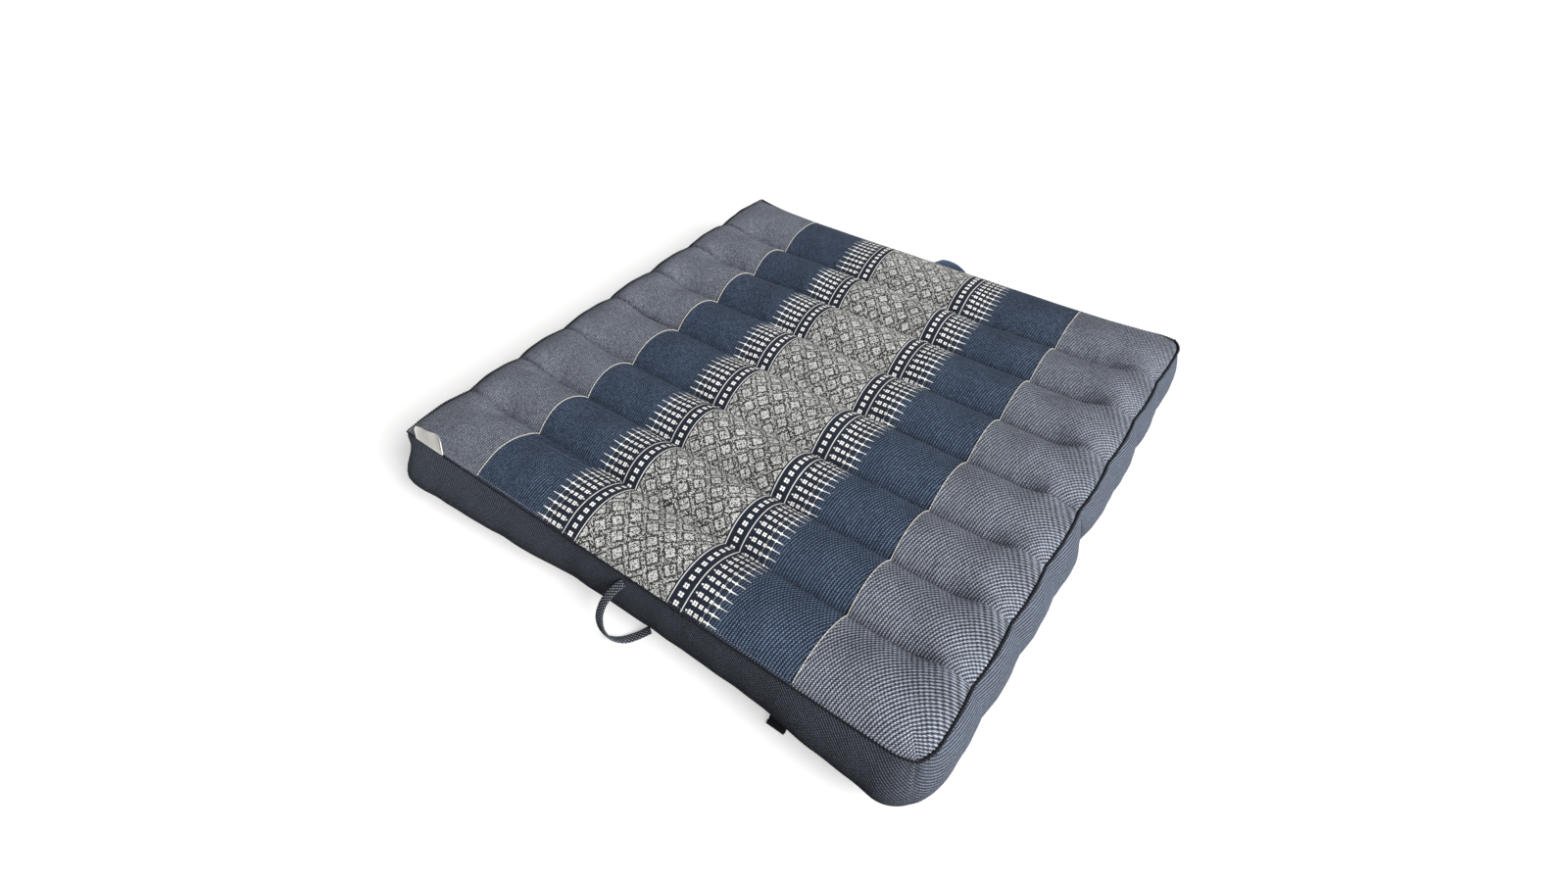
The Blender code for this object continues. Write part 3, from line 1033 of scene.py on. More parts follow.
def settle(item: bpy.types.Object, piece: Piece, *materials: bpy.types.Material) -> None:
    """Give a piece its materials and its body, hide its solid, and report it.

    Args:
        item: the piece's object.
        piece: which piece it is.
        materials: its finishes.
    """
    for material in materials:
        item.data.materials.append(material)
    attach(item, "root")
    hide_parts(piece.value)
    LOG.info("%s: %d faces", item.name, len(item.data.polygons))


@dataclass
class Weave:
    """Where the weave's lines run, in whole turns of two waves.

    On top, the first wave's lines are rings round a point near each channel's right end, so they
    bend as they do on a filled channel; the second wave's lines lie along the channel. On the sides
    the first wave's lines are a twill that leans as the slopes say, side by side.
    """

    pitch: float = 0.0034
    cross_pitch: float = 0.0030
    centre: float = 0.392
    centre_part: float = -0.12
    flatten: float = 1.0
    side_pitch: float = 0.0028
    side_cross: float = 0.0019
    slopes: tuple = (0.75, 0.12, 0.75, 0.3)     # front, right, far, left
    side_wave: float = 0.006

    def top(self, place: np.ndarray, lines: np.ndarray, channel: np.ndarray) -> np.ndarray:
        """The waves on top.

        Args:
            place: the cloth map of each face's corners.
            lines: where the sewn lines lie on the cloth map.
            channel: each face's channel.

        Returns:
            The waves at the same corners.
        """
        low, high = lines[channel][:, None], lines[channel + 1][:, None]
        middle = low + (high - low) * self.centre_part
        across = place[..., 0] - self.centre
        along = (place[..., 1] - middle) * self.flatten
        ring = np.sqrt(across ** 2 + along ** 2 + 0.012 ** 2)
        bent = place[..., 1] - 0.05 * across * np.sin(math.pi * (place[..., 1] - low) / (high - low))
        return np.stack([ring / self.pitch, bent / self.cross_pitch], -1)

    def side(self, run: np.ndarray, up: np.ndarray, swelling: np.ndarray, turns: np.ndarray) -> np.ndarray:
        """The waves on the sides.

        Args:
            run: the length along the edge seam.
            up: the height on the cloth, zero at the seam.
            swelling: how full the channel is at each place.
            turns: where the second, third and fourth side start.

        Returns:
            The waves for each place of the grid.
        """
        starts = np.concatenate([[0.0], turns])
        slope = np.zeros_like(run)
        for number, value in enumerate(self.slopes):
            before = self.slopes[number - 1] if number else value
            start = starts[number]
            turned = before + (value - before) * ease(run, start - 0.02, start + 0.06)
            slope = np.where(run >= start, turned, slope)
        lean = np.concatenate([[0.0], np.cumsum(np.diff(run) * (slope[1:] + slope[:-1]) / 2.0)])
        wave = self.side_wave * swelling * np.sin(math.pi * np.clip(-up / 0.09, 0.0, 1.0))
        first = (up + lean[None, :] + wave) / self.side_pitch
        second = np.broadcast_to(run[None, :], up.shape) / self.side_cross
        return np.stack([first, second], -1).reshape(-1, 2)

    def under(self, place: np.ndarray) -> np.ndarray:
        """The waves on the underside.

        Args:
            place: the underside's cloth map.

        Returns:
            The waves at the same corners.
        """
        first = (place[:, 0] * 0.8 + place[:, 1]) / self.side_pitch
        return np.stack([first, place[:, 0] / self.side_cross], -1)


@dataclass
class FilledMat:
    """The mat itself: top cloth, boxing and underside in one closed skin."""

    form: MatForm
    weave: Weave = field(default_factory=Weave)
    column_steps: int = 230
    channel_steps: int = 34
    layers: int = 16
    under_step: int = 4             # one place of so many is kept inside the underside

    def build(self) -> bpy.types.Object:
        """Build the skin.

        The top is a grid of columns and rows. The sides hang from the same outline in layers, and the
        underside takes the lowest layer as its rim and every fourth place inside it.

        Returns:
            The mat's object.
        """
        form = self.form
        xs = form.columns(self.column_steps)
        ys = form.rows(self.channel_steps)
        grid_x, grid_y = np.meshgrid(xs, ys, indexing="ij")
        wide, long = grid_x.shape
        number = np.arange(grid_x.size).reshape(grid_x.shape)
        faces = [grid_faces(number)]
        maps = [self.top_maps(grid_x, ys, faces[0])]

        # The sides, on a ring round the edge
        ring = rim_of(number)
        ring_x = grid_x.ravel()[ring]
        ring_y = grid_y.ravel()[ring]
        wall = self.wall(ring_x, ring_y)
        wall_numbers = number.size + np.arange(self.layers * len(ring)).reshape(self.layers, -1)
        levels = np.concatenate([ring[None, :], wall_numbers], 0)
        faces.append(grid_faces(np.concatenate([levels, levels[:, :1]], 1)))
        places = np.concatenate([form.top(grid_x, grid_y).reshape(-1, 3), wall.reshape(-1, 3)], 0)
        corners = [wide - 1, wide + long - 2, 2 * wide + long - 3]
        maps.append(self.wall_maps(places[levels], ring_x, ring_y, corners))

        # The underside, whose numbers are -1 where it has no place
        low_number = np.full(grid_x.shape, -1)
        low_number.ravel()[ring] = levels[-1]
        inner, polygons, under_map = self.underside(xs, ys, low_number, len(places))
        places = np.concatenate([places, form.under(grid_x, grid_y)[inner]], 0)

        every = [f for block in faces for f in block[:, ::-1].tolist()] + [f[::-1] for f in polygons]
        cloths = [m[:, ::-1].reshape(-1, 2) for m, _ in maps]
        weaves = [w[:, ::-1].reshape(-1, 2) for _, w in maps]
        mat = new_mesh("filled_mat", places, every, {
            CLOTH_MAP: np.concatenate(cloths + [under_map]),
            WEAVE_MAP: np.concatenate(weaves + [self.weave.under(under_map)])})
        slots = np.ones(len(every), np.int32)
        slots[:len(faces[0])] = 0
        mat.data.polygons.foreach_set("material_index", slots)
        # painted light and shade for the top and the sides; the underside keeps 1
        painted_shading = np.ones(len(places), np.float32)
        painted_shading[:number.size] = form.painted_shading(grid_x, grid_y).ravel()
        painted_shading[wall_numbers] = form.side_painted_shading(ring_x, ring_y)
        mat.data.attributes.new(PAINTED_SHADING, "FLOAT", "POINT").data.foreach_set("value", painted_shading)
        settle(mat, Piece.MAT, TopCloth().material(), SideCloth().material())
        return mat

    def top_maps(self, grid_x: np.ndarray, ys: np.ndarray,
                 faces: np.ndarray) -> tuple[np.ndarray, np.ndarray]:
        """The top's maps: across as it lies, along by the length of the middle's section.

        Args:
            grid_x: places along X, column by row.
            ys: the rows' places along Y.
            faces: the top's faces.

        Returns:
            The cloth map and the weave's waves at each face's corners.
        """
        section = self.form.top_height(np.zeros_like(ys), ys)
        steps = np.hypot(np.diff(ys), np.diff(section))
        along = np.concatenate([[0.0], np.cumsum(steps)])
        cloth = np.stack(np.broadcast_arrays(grid_x, along[None, :]), -1).reshape(-1, 2)[faces]
        channel = np.tile(np.arange(len(ys) - 1) // self.channel_steps, len(grid_x) - 1)
        return cloth, self.weave.top(cloth, along[::self.channel_steps], channel)

    def wall(self, ring_x: np.ndarray, ring_y: np.ndarray) -> np.ndarray:
        """The sides' layers below the edge seam, closer together at the seam and at the foot.

        Args:
            ring_x: places along X round the edge.
            ring_y: places along Y round the edge.

        Returns:
            The places, layer by layer.
        """
        even = np.linspace(0.0, 1.0, self.layers + 1)
        down = (1.0 - np.cos(np.linspace(0.0, math.pi, self.layers + 1))) / 2.0
        down = 0.4 * down + 0.6 * even
        x, y = (ring[None, :].repeat(self.layers, 0) for ring in (ring_x, ring_y))
        return self.form.side(x, y, down[1:, None].repeat(len(ring_x), 1))

    def wall_maps(self, spots: np.ndarray, ring_x: np.ndarray, ring_y: np.ndarray,
                  corners: list[int]) -> tuple[np.ndarray, np.ndarray]:
        """The sides' maps: along by the length round the edge, down by the length of the drop.

        Args:
            spots: places, layer by layer from the edge seam down.
            ring_x: places along X round the edge.
            ring_y: places along Y round the edge.
            corners: where on the ring the second, third and fourth side start.

        Returns:
            The cloth map and the weave's waves at each face's corners.
        """
        round_steps = np.linalg.norm(np.diff(spots[0], axis=0, append=spots[0, :1]), axis=-1)
        run = np.concatenate([[0.0], np.cumsum(round_steps)])
        layer_steps = np.linalg.norm(np.diff(spots, axis=0), axis=-1)
        drop = np.concatenate([[np.zeros(len(ring_x))], np.cumsum(layer_steps, 0)])
        drop = np.concatenate([drop, drop[:, :1]], 1)
        cloth = np.stack(np.broadcast_arrays(run[None, :], -drop), -1).reshape(-1, 2)
        at_side = np.abs(ring_x) > self.form.half - 1e-9
        swelling = np.where(at_side, self.form.swelling(ring_y), 0.5)
        swelling = np.append(swelling, swelling[0])
        flat = grid_faces(np.arange(drop.size).reshape(drop.shape))
        return cloth[flat], self.weave.side(run, -drop, swelling, run[corners])[flat]

    def underside(self, xs: np.ndarray, ys: np.ndarray, low_number: np.ndarray,
                  first: int) -> tuple[np.ndarray, list[list[int]], np.ndarray]:
        """The underside: a coarse grid that meets every place of its rim, finer under the fold.

        Args:
            xs: the columns' places along X.
            ys: the rows' places along Y.
            low_number: the rim's vertex numbers, filled in here with the inner ones.
            first: the first inner vertex's number.

        Returns:
            Which grid places lie inside, the faces seen from above, and the cloth map at the corners
            of the faces as they are seen from below.
        """
        wide, long = low_number.shape
        keep_x = np.unique(np.concatenate([np.arange(0, wide, self.under_step), [wide - 1]]))
        fine = np.abs(ys - self.form.fold) < self.form.parting_reach
        keep_y = np.unique(np.concatenate([np.arange(0, long, self.under_step), [long - 1],
                                           np.nonzero(fine)[0]]))
        inner = np.zeros((wide, long), bool)
        inner[np.ix_(keep_x, keep_y)] = True
        inner &= low_number < 0
        low_number[inner] = first + np.arange(inner.sum())
        polygons: list[list[int]] = []
        maps: list[np.ndarray] = []
        for x0, x1 in zip(keep_x, keep_x[1:]):
            for y0, y1 in zip(keep_y, keep_y[1:]):
                edge = [(x0, y) for y in range(y0, y1)] + [(x, y1) for x in range(x0, x1)]
                edge += [(x1, y) for y in range(y1, y0, -1)] + [(x, y0) for x in range(x1, x0, -1)]
                loop = [(x, y) for x, y in edge if low_number[x, y] >= 0]
                polygons.append([int(low_number[x, y]) for x, y in loop])
                maps.append(np.array([[xs[x], ys[y]] for x, y in loop])[::-1])
        return inner, polygons, np.concatenate(maps)

    def edge_line(self, steps: int) -> np.ndarray:
        """Places along the edge seam, evenly apart, anticlockwise from the left front corner.

        Args:
            steps: how many places.

        Returns:
            The places.
        """
        span = np.linspace(-self.form.half, self.form.half, 400)
        full = np.full_like(span, self.form.half)
        x = np.concatenate([span[:-1], full[:-1], span[:0:-1], -full[:-1]])
        y = np.concatenate([-full[:-1], span[:-1], full[:-1], span[:0:-1]])
        line = self.form.top(x, y)
        line = np.concatenate([line, line[:1]])
        run = lengths(line)
        want = np.linspace(0.0, run[-1], steps, endpoint=False)
        return np.stack([np.interp(want, run, line[:, axis]) for axis in range(3)], -1)


def carried(path: np.ndarray, half_width: np.ndarray, half_height: np.ndarray, side: np.ndarray,
            over: np.ndarray, power: float = 2.0, around: int = 16) -> np.ndarray:
    """Carry a rounded section along a path.

    The section is a superellipse: its two coordinates are the cosine and the sine of the turn, each
    to the power 2 / power with its own sign, times the half sizes.

    Args:
        path: the middle line.
        half_width: the section's half width at each place.
        half_height: its half height.
        side: the width's direction at each place.
        over: the height's direction.
        power: 2 is an ellipse, more is squarer.
        around: places round the section.

    Returns:
        A grid of places, path by section.
    """
    turn = np.linspace(0.0, math.tau, around, endpoint=False)
    wide = np.sign(np.cos(turn)) * np.abs(np.cos(turn)) ** (2.0 / power)
    high = np.sign(np.sin(turn)) * np.abs(np.sin(turn)) ** (2.0 / power)
    return (path[:, None, :] + side[:, None, :] * (half_width[:, None] * wide)[..., None]
            + over[:, None, :] * (half_height[:, None] * high)[..., None])


def skin(name: str, grid: np.ndarray, closed: bool) -> bpy.types.Object:
    """Make a tube's mesh from a grid of places, path by section, with its cloth map in metres.

    Args:
        name: the object's name.
        grid: the places.
        closed: whether the path meets its own start; otherwise the ends get flat caps.

    Returns:
        The object.
    """
    count, around = grid.shape[:2]
    number = np.arange(count * around).reshape(count, around)
    wrapped = np.concatenate([number, number[:, :1]], 1)
    spots = np.concatenate([grid, grid[:, :1]], 1)
    if closed:
        wrapped = np.concatenate([wrapped, wrapped[:1]], 0)
        spots = np.concatenate([spots, spots[:1]], 0)
    faces = grid_faces(wrapped)
    run = lengths(spots.mean(1))
    turn = lengths(spots[len(spots) // 2])
    flat = np.stack(np.broadcast_arrays(run[:, None], turn[None, :]), -1).reshape(-1, 2)
    corners = flat[grid_faces(np.arange(len(flat)).reshape(spots.shape[:2]))].reshape(-1, 2)
    every = faces.tolist()
    if not closed:
        every += [number[0].tolist(), number[-1, ::-1].tolist()]
        corners = np.concatenate([corners, np.zeros((around, 2)), np.zeros((around, 2))])
    item = new_mesh(name, grid, every, {CLOTH_MAP: corners})
    mesh = item.data
    if mesh_volume(grid, closed) < 0.0:
        mesh.flip_normals()
    return item


def mesh_volume(grid: np.ndarray, closed: bool) -> float:
    """The signed volume that a tube's faces hold: a third of the sum of place times area.

    Args:
        grid: the places, path by section.
        closed: whether the path meets its own start.

    Returns:
        The volume, below zero if the faces look inwards.
    """
    around = np.concatenate([grid, grid[:, :1]], 1)
    if closed:
        around = np.concatenate([around, around[:1]], 0)
    a, b, c, d = around[:-1, :-1], around[1:, :-1], around[1:, 1:], around[:-1, 1:]
    middle = grid.reshape(-1, 3).mean(0)
    area = np.cross(c - a, d - b)
    return float((((a + b + c + d) / 4.0 - middle) * area).sum() / 6.0)


def directions(path: np.ndarray, closed: bool) -> np.ndarray:
    """The way ahead at each place of a path, one metre long.

    Args:
        path: the path.
        closed: whether it meets its own start.

    Returns:
        One direction to a place.
    """
    if closed:
        ahead = np.roll(path, -1, 0) - np.roll(path, 1, 0)
    else:
        ahead = np.gradient(path, axis=0)
    return ahead / np.linalg.norm(ahead, axis=1, keepdims=True)


def unit(vectors: np.ndarray) -> np.ndarray:
    """Vectors made one long."""
    return vectors / np.linalg.norm(vectors, axis=-1, keepdims=True)


@dataclass
class EdgeWelt:
    """The dark cord in the edge seam: a round section whose radius beads along the cord."""

    mat: FilledMat
    radius: float = 0.0015
    lift: float = 0.0014
    bead: float = 0.0036
    length: float = 2.87            # round the mat
    steps: int = 3300

    def build(self) -> bpy.types.Object:
        """Build the cord.

        Returns:
            The welt's object.
        """
        line = self.mat.edge_line(self.steps)
        ahead = directions(line, True)
        up = np.array([0.0, 0.0, 1.0])
        out = unit(np.cross(ahead, up))
        over = unit(np.cross(out, ahead))
        path = line + (out + over) / math.sqrt(2.0) * self.lift
        run = np.linspace(0.0, 1.0, self.steps, endpoint=False)
        beads = round(self.length / self.bead)
        waves = 1.0 + 0.34 * np.sin(math.tau * beads * run) + 0.08 * np.sin(math.tau * 41 * run)
        radius = self.radius * waves
        front = 1.0 - ease(line[:, 1], -self.mat.form.half, -self.mat.form.half + 0.020)
        left = 1.0 - ease(line[:, 0], -self.mat.form.half, -self.mat.form.half + 0.010)
        uneven = np.sin(math.tau * 61 * run) * np.sin(math.tau * 23 * run + 1.0)
        radius = radius * (1.0 - 0.36 * front + 0.22 * left * (1.0 - front) * uneven)
        welt = skin("edge_cord", carried(path, radius, radius, out, over, 2.0, 10), True)
        finish = CordFinish("welt_cord", linear(2, 3, 5), linear(58, 63, 76), 4.2, 3.6, dots=0.1)
        settle(welt, Piece.WELT, finish.material())
        return welt


@dataclass
class PaleTrim:
    """A thin pale cord that follows the channels."""

    form: MatForm
    piece: Piece
    place: float
    radius: float = 0.00062
    steps: int = 900

    def build(self) -> bpy.types.Object:
        """Build the cord.

        Returns:
            The trim's object.
        """
        y = np.linspace(-self.form.half + 0.002, self.form.half - 0.004, self.steps)
        x = np.full_like(y, self.place)
        line = self.form.top(x, y)
        ahead = directions(line, False)
        side = np.broadcast_to(np.array([1.0, 0.0, 0.0]), line.shape)
        over = unit(np.cross(side, ahead))
        path = line + over * (self.radius * 0.55)
        run = np.arange(self.steps)
        radius = self.radius * (1.0 + 0.16 * np.sin(math.tau * run / 5.0))
        trim = skin("pale_" + self.piece.value, carried(path, radius, radius, side, over, 2.0, 8), False)
        name = "pale_cord_" + self.piece.value
        finish = CordFinish(name, linear(104, 102, 98), linear(190, 188, 182), 3.0, 3.6)
        settle(trim, self.piece, finish.material())
        return trim


def smooth_path(points: np.ndarray, steps: int) -> np.ndarray:
    """A smooth curve through points, each stretch a cubic that keeps its neighbours' slopes.

    Args:
        points: the points.
        steps: places to a stretch.

    Returns:
        The curve's places.
    """
    ends = np.concatenate([[points[0] * 2 - points[1]], points, [points[-1] * 2 - points[-2]]])
    a, b, c, d = ends[:-3], ends[1:-2], ends[2:-1], ends[3:]
    t = (np.arange(steps) / steps)[None, :, None]
    a, b, c, d = (part[:, None, :] for part in (a, b, c, d))
    square, cube = 2 * a - 5 * b + 4 * c - d, 3 * b - a - 3 * c + d
    curve = 0.5 * (2 * b + (c - a) * t + square * t ** 2 + cube * t ** 3)
    return np.concatenate([curve.reshape(-1, 3), points[-1:]])


@dataclass
class Strap:
    """A flat strap along a route: a squarish section, its width level along X."""

    form: MatForm
    piece: Piece
    route: tuple
    middle: float
    way: float
    width: float
    thick: float
    finish: CordFinish
    twist: float = 0.0
    twist_at: tuple[float, float] = (0.27, 0.18)
    steps: int = 14

    def build(self) -> bpy.types.Object:
        """Build the strap.

        Returns:
            The strap's object.
        """
        rows = np.array(self.route)
        seam = self.form.top(np.array([self.middle]), np.array([self.way * self.form.half]))[0, 1]
        points = np.stack([self.middle + rows[:, 0], seam + self.way * rows[:, 1], rows[:, 2]], -1)
        path = smooth_path(points, self.steps)
        ahead = directions(path, False)
        level = unit(np.array([1.0, 0.0, 0.0]) - ahead * ahead[:, :1])
        above = np.cross(level, ahead)
        count = len(path)
        run = np.linspace(0.0, 1.0, count)
        turn = (self.twist * bell(run - self.twist_at[0], self.twist_at[1]))[:, None]
        side = level * np.cos(turn) + above * np.sin(turn)
        over = np.cross(side, ahead)
        width = np.full(count, self.width / 2) * (1.0 + 0.03 * np.sin(math.tau * 3 * run))
        height = np.full(count, self.thick / 2) * (1.0 + 0.06 * np.sin(math.tau * 5 * run + 1.0))
        grid = carried(path, width, height, side, over, 3.2, 28)
        strap = skin("strap_" + self.piece.value, grid, False)
        settle(strap, self.piece, self.finish.material())
        return strap


@dataclass
class FoldedTag:
    """The blank tag in the front seam: tape folded over at its top, its upper corners round."""

    form: MatForm
    start: float = -0.3395
    width: float = 0.0520
    rises: tuple[float, float] = (0.0185, 0.0275)
    round: float = 0.0045
    thick: float = 0.0006
    lean: float = math.radians(14.0)

    def build(self) -> bpy.types.Object:
        """Build the tag: a grid across and up, pushed in at the corners, with a slight bow.

        Returns:
            The tag's object.
        """
        across = np.linspace(0.0, 1.0, 41)
        up = np.linspace(0.0, 1.0, 25)
        a, b = np.meshgrid(across, up, indexing="ij")
        rise = self.rises[0] + (self.rises[1] - self.rises[0]) * a
        x = a * self.width
        near_side = np.minimum(x, self.width - x)
        reach = np.clip(self.round - near_side, 0.0, self.round)
        top = rise - (self.round - np.sqrt(self.round ** 2 - reach ** 2))
        z = b * top
        bow = 0.0012 * np.sin(math.pi * a) * b - 0.0010 * b ** 2 + 0.0006 * np.sin(math.tau * 1.5 * a) * b
        foot = self.form.top(np.array([self.start]), np.array([-self.form.half]))[0]
        base = foot + np.array([0.0, -0.0014, 0.0016])
        sheets = []
        for way in (-1.0, 1.0):
            thickness = way * self.thick * (1.0 - 0.85 * b ** 6)
            y = bow + thickness + z * math.sin(self.lean)
            sheets.append(base + np.stack([x, y, z * math.cos(self.lean)], -1))
        front, back = sheets
        number = np.arange(a.size).reshape(a.shape)
        other = number + a.size
        ring = rim_of(number)
        faces = grid_faces(number)[:, ::-1].tolist() + grid_faces(other).tolist()
        rim = np.stack([ring, np.roll(ring, -1), np.roll(ring, -1) + a.size, ring + a.size], -1)
        faces += rim[:, ::-1].tolist()
        flat = np.concatenate([np.stack([x, z], -1).reshape(-1, 2)] * 2)
        corners = flat[np.array(faces)].reshape(-1, 2)
        tag = new_mesh("blank_tag", np.concatenate([front.reshape(-1, 3), back.reshape(-1, 3)]), faces,
                       {CLOTH_MAP: corners})
        finish = CordFinish("white_tape", linear(214, 211, 204), linear(246, 244, 240),
                            0.7, 0.5, 0.7, 0.00008)
        settle(tag, Piece.TAG, finish.material())
        return tag


@dataclass
class Stitches:
    """A row of stitches: each is a short thread, thick in its middle and sunk in at both ends."""

    form: MatForm
    thread: float
    length: float
    gap: float
    finish: CordFinish
    around: int = 6

    def row(self, start: float, end: float, y: float, lift: float) -> np.ndarray:
        """Places of each stitch's rings in a row along X on the top cloth.

        Args:
            start: where the row starts.
            end: where it ends.
            y: the row's line.
            lift: how far above the cloth.

        Returns:
            An array, stitch by ring by place.
        """
        first = np.arange(start, end, self.length + self.gap)
        x = first[:, None] + np.array([0.0, 0.12, 0.5, 0.88, 1.0]) * self.length
        places = self.form.top(x, np.full_like(x, y))
        places[..., 2] += lift + self.thread * np.array([-0.8, 0.2, 0.6, 0.2, -0.8])
        return places

    def build(self, name: str, rows: list[np.ndarray]) -> bpy.types.Object:
        """Build all the stitches of some rows as one piece.

        Args:
            name: the piece's name.
            rows: the rings' places, row by row.

        Returns:
            The piece.
        """
        rings = np.concatenate(rows)
        turn = np.linspace(0.0, math.tau, self.around, endpoint=False)
        thick = self.thread * np.array([0.25, 0.9, 1.0, 0.9, 0.25])
        section = np.stack([np.zeros_like(turn), np.cos(turn), np.sin(turn)], -1)
        grid = rings[:, :, None, :] + thick[None, :, None, None] * section
        count, steps, around = grid.shape[:3]
        number = np.arange(count * steps * around).reshape(count, steps, around)
        ahead = np.roll(number, -1, 2)
        sides = np.stack([number[:, :-1], number[:, 1:], ahead[:, 1:], ahead[:, :-1]], -1).reshape(-1, 4)
        caps = np.concatenate([number[:, 0], number[:, -1, ::-1]])
        run = np.broadcast_to(rings[..., :1, None][..., 0], grid.shape[:3])
        flat = np.stack([run, np.broadcast_to(turn * self.thread, run.shape)], -1).reshape(-1, 2)
        maps = np.concatenate([flat[sides].reshape(-1, 2), flat[caps].reshape(-1, 2)])
        item = new_mesh(name, grid, sides.tolist() + caps.tolist(), {CLOTH_MAP: maps})
        item.data.materials.append(self.finish.material())
        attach(item, "root")
        LOG.info("%s: %d faces", name, len(item.data.polygons))
        return item


@dataclass(frozen=True)
class Camera:
    """The photograph's viewpoint."""

    place: tuple = (0.4421, -0.6374, 0.7332)
    ahead: tuple = (-0.4378, 0.5670, -0.6977)
    right: tuple = (0.8056, 0.5920, -0.0243)
    lens: float = 36.0 * 793.5 / 1600.0

    def build(self) -> None:
        """Make the camera and set it."""
        data = bpy.data.cameras.new("camera")
        data.lens = self.lens
        data.sensor_width = 36.0
        data.clip_start = 0.01
        item = bpy.data.objects.new("camera", data)
        bpy.context.scene.collection.objects.link(item)
        ahead = Vector(self.ahead).normalized()
        right = (Vector(self.right) - ahead * Vector(self.right).dot(ahead)).normalized()
        up = right.cross(ahead)
        turn = Matrix((right, up, -ahead)).transposed().to_4x4()
        item.matrix_world = Matrix.Translation(self.place) @ turn
        bpy.context.scene.camera = item


@dataclass(frozen=True)
class Studio:
    """A pale floor and backdrop, a sky that is dimmer in front, and one soft light."""

    sky: float = 0.52
    shade: float = 0.10             # the sky's strength in front
    floor: tuple = (0.5, 0.5, 0.5)
    glow: float = 0.50
    card: tuple = (0.08, 0.08, 0.08)
    sun: float = 7.2
    sun_from: tuple = (0.838, -0.070, 0.541)
    softness: float = math.radians(36.0)
    floor_reach: float = 12.0
    card_reach: float = 3.0
    backdrop_reach: float = 11.0
    backdrop_steps: int = 64

    def key(self) -> None:
        """Hang the broad, even light that comes from the right, and a little from the front."""
        data = bpy.data.lights.new("key", "SUN")
        data.energy = self.sun
        data.angle = self.softness
        data.color = (1.0, 0.995, 0.985)
        item = bpy.data.objects.new("key", data)
        item.rotation_euler = Vector(self.sun_from).to_track_quat("Z", "Y").to_euler()
        bpy.context.scene.collection.objects.link(item)

    def sheet(self, name: str, reach: float, height: float, colour: tuple, glow: float) -> bpy.types.Object:
        """Make a flat square.

        Args:
            name: its name.
            reach: half its side.
            height: its height.
            colour: its colour.
            glow: the light it gives off.

        Returns:
            The square.
        """
        corners = np.array([[-reach, -reach, height], [reach, -reach, height],
                            [reach, reach, height], [-reach, reach, height]])
        item = new_mesh(name, corners, [[0, 1, 2, 3]])
        item.data.materials.append(self.paper(name, colour, glow))
        return item

    def backdrop(self, reach: float, steps: int) -> bpy.types.Object:
        """Make the plain pale backdrop: a sphere, its places the sines and cosines of two turns.

        Args:
            reach: its radius.
            steps: places round it; half as many from its foot to its top.

        Returns:
            The backdrop, which only the camera sees.
        """
        turn = np.linspace(0.0, math.tau, steps, endpoint=False)
        tilt = np.linspace(0.02, math.pi - 0.02, steps // 2)[:, None]
        grid = reach * np.stack([np.sin(tilt) * np.cos(turn), np.sin(tilt) * np.sin(turn),
                                 np.cos(tilt) + 0.0 * turn], -1)
        number = np.arange(grid[..., 0].size).reshape(grid.shape[:2])
        faces = grid_faces(np.concatenate([number, number[:, :1]], 1)).tolist()
        item = new_mesh("backdrop", grid, faces)
        item.data.materials.append(self.paper("backdrop", (0.0, 0.0, 0.0), 1.0))
        item.visible_diffuse = False
        item.visible_glossy = False
        item.visible_shadow = False
        return item

    def paper(self, name: str, colour: tuple, glow: float) -> bpy.types.Material:
        """Make a plain dull finish that may give off light.

        Args:
            name: its name.
            colour: its colour.
            glow: the light it gives off.

        Returns:
            The material.
        """
        paper = bpy.data.materials.new(name)
        paper.use_nodes = True
        shader = paper.node_tree.nodes["Principled BSDF"]
        shader.inputs["Base Color"].default_value = (*colour, 1.0)
        shader.inputs["Roughness"].default_value = 0.9
        shader.inputs["Emission Color"].default_value = (1.0, 1.0, 1.0, 1.0)
        shader.inputs["Emission Strength"].default_value = glow
        return paper

    def build(self) -> None:
        """Make the floor, the backdrop, the sky and the light.

        The card lies on the floor and only takes part in the light that comes back from below, so
        the front side stays in shade as in the photograph.
        """
        world = bpy.data.worlds.new("studio")
        world.use_nodes = True
        tree = world.node_tree
        way = tree.nodes.new("ShaderNodeTexCoord")
        parts = tree.nodes.new("ShaderNodeSeparateXYZ")
        strength = tree.nodes.new("ShaderNodeMapRange")
        tree.links.new(way.outputs["Generated"], parts.inputs[0])
        tree.links.new(parts.outputs["Y"], strength.inputs["Value"])
        limits = {"From Min": -0.6, "From Max": 0.3, "To Min": self.shade, "To Max": self.sky}
        for name, value in limits.items():
            strength.inputs[name].default_value = value
        tree.nodes["Background"].inputs[0].default_value = (1.0, 1.0, 1.0, 1.0)
        tree.links.new(strength.outputs["Result"], tree.nodes["Background"].inputs[1])
        bpy.context.scene.world = world
        floor = self.sheet("pale_floor", self.floor_reach, -0.0002, self.floor, self.glow)
        card = self.sheet("bounce_card", self.card_reach, -0.0001, self.card, 0.0)
        card.visible_camera = False
        card.visible_shadow = False
        self.backdrop(self.backdrop_reach, self.backdrop_steps)
        self.key()
        bpy.context.scene.view_settings.view_transform = "Standard"


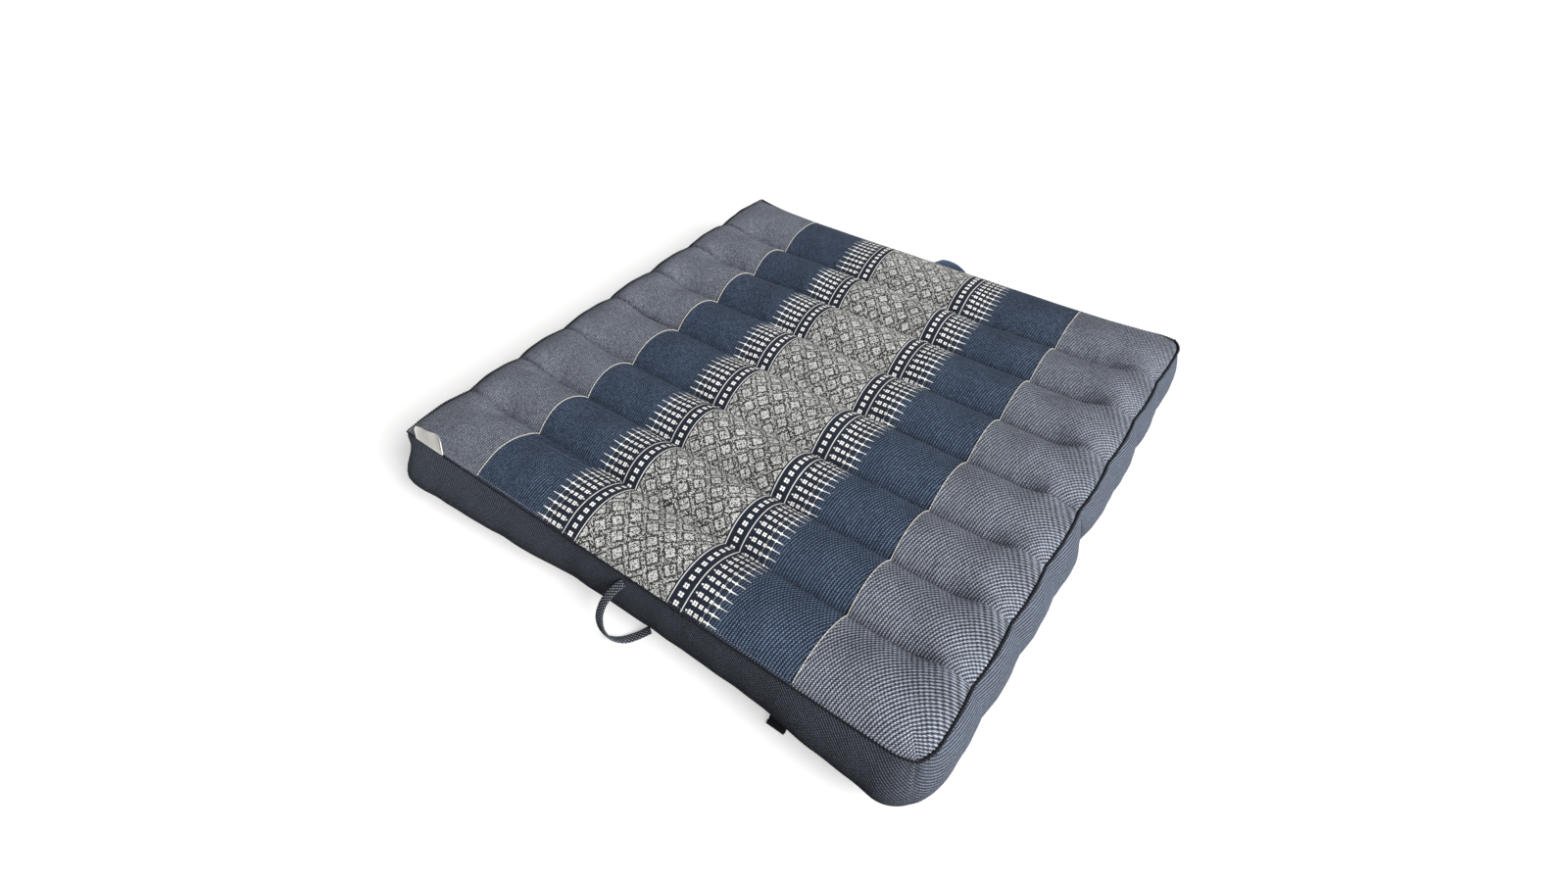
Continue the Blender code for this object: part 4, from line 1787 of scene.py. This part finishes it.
NEAR_ROUTE = (
    (0.017, 0.0049, 0.0755), (0.013, 0.0160, 0.0710), (0.008, 0.0280, 0.0600), (0.006, 0.0370, 0.0430),
    (0.008, 0.0400, 0.0240), (0.014, 0.0370, 0.0090), (0.023, 0.0280, 0.0021), (0.032, 0.0160, 0.0024),
    (0.040, 0.0035, 0.0058),
)
FAR_ROUTE = (
    (-0.012, 0.0050, 0.0755), (-0.014, 0.0170, 0.0730), (-0.008, 0.0310, 0.0680), (0.006, 0.0420, 0.0600),
    (0.022, 0.0465, 0.0480), (0.034, 0.0450, 0.0300), (0.040, 0.0380, 0.0120), (0.041, 0.0240, 0.0026),
    (0.040, 0.0020, 0.0058),
)
TAB_ROUTE = ((0.0, 0.0011, 0.0061), (0.0, 0.0050, 0.0046), (0.0, 0.0090, 0.0024), (0.0, 0.0130, 0.0013))


@dataclass
class FoldingMat:
    """The whole mat, piece by piece."""

    form: MatForm = field(default_factory=MatForm)
    trims: tuple[float, float] = (-0.2263, 0.2263)
    near_width: float = 0.0098
    far_width: float = 0.0115
    loop_thick: float = 0.0030
    far_twist: float = math.radians(62.0)
    tab_middle: float = 0.214
    tab_width: float = 0.022
    tab_thick: float = 0.0024
    # where the stitches start and end: the fold's line, another line and the front edge
    fold_row: tuple[float, float] = (-0.352, 0.350)
    line_row: tuple[float, float] = (-0.318, 0.312)
    edge_row: tuple[float, float] = (-0.326, 0.332)
    edge_inset: float = 0.0024

    def build(self) -> None:
        """Build every piece in order."""
        mat = FilledMat(self.form)
        mat.build()
        EdgeWelt(mat).build()
        for piece, place in zip((Piece.LEFT_TRIM, Piece.RIGHT_TRIM), self.trims):
            PaleTrim(self.form, piece, place).build()
        loop = CordFinish("loop_cloth", linear(9, 10, 15), linear(150, 156, 170), 3.6, 3.8, 1.0, dots=0.05)
        far_loop = CordFinish("far_loop_cloth", linear(18, 24, 38), linear(84, 98, 124), 4.0, 4.6, 1.0)
        webbing = CordFinish("tab_webbing", linear(8, 8, 10), linear(40, 40, 46), 1.6, 1.6)
        Strap(self.form, Piece.NEAR_LOOP, NEAR_ROUTE, 0.0, -1.0,
              self.near_width, self.loop_thick, loop).build()
        Strap(self.form, Piece.FAR_LOOP, FAR_ROUTE, 0.0, 1.0,
              self.far_width, self.loop_thick, far_loop, self.far_twist).build()
        Strap(self.form, Piece.TAB, TAB_ROUTE, self.tab_middle, -1.0,
              self.tab_width, self.tab_thick, webbing).build()
        FoldedTag(self.form).build()
        self.sew()

    def sew(self) -> None:
        """Sew the channels' lines in dark thread and the front edge's line in pale thread."""
        dark = CordFinish("dark_thread", linear(10, 12, 18), linear(34, 38, 48), 0.5, 0.9)
        rows = []
        stitches = Stitches(self.form, 0.00048, 0.0031, 0.0016, dark)
        for number, y in enumerate(self.form.channels[1:-1], 1):
            start, end = self.fold_row if number == self.form.fold_number else self.line_row
            rows.append(stitches.row(start, end, y, 0.0))
        stitches.build("channel_stitches", rows)
        pale = CordFinish("pale_thread", linear(104, 106, 110), linear(170, 170, 168), 0.5, 0.9)
        edge = Stitches(self.form, 0.00030, 0.0022, 0.0012, pale)
        row = edge.row(*self.edge_row, -self.form.half + self.edge_inset, 0.0)
        edge.build("edge_stitches", [row])


def main() -> None:
    """Build the mat and the studio."""
    logging.basicConfig(level=logging.INFO, format="%(message)s")
    Camera().build()
    FoldingMat().build()
    Studio().build()


if __name__ == "__main__":
    main()
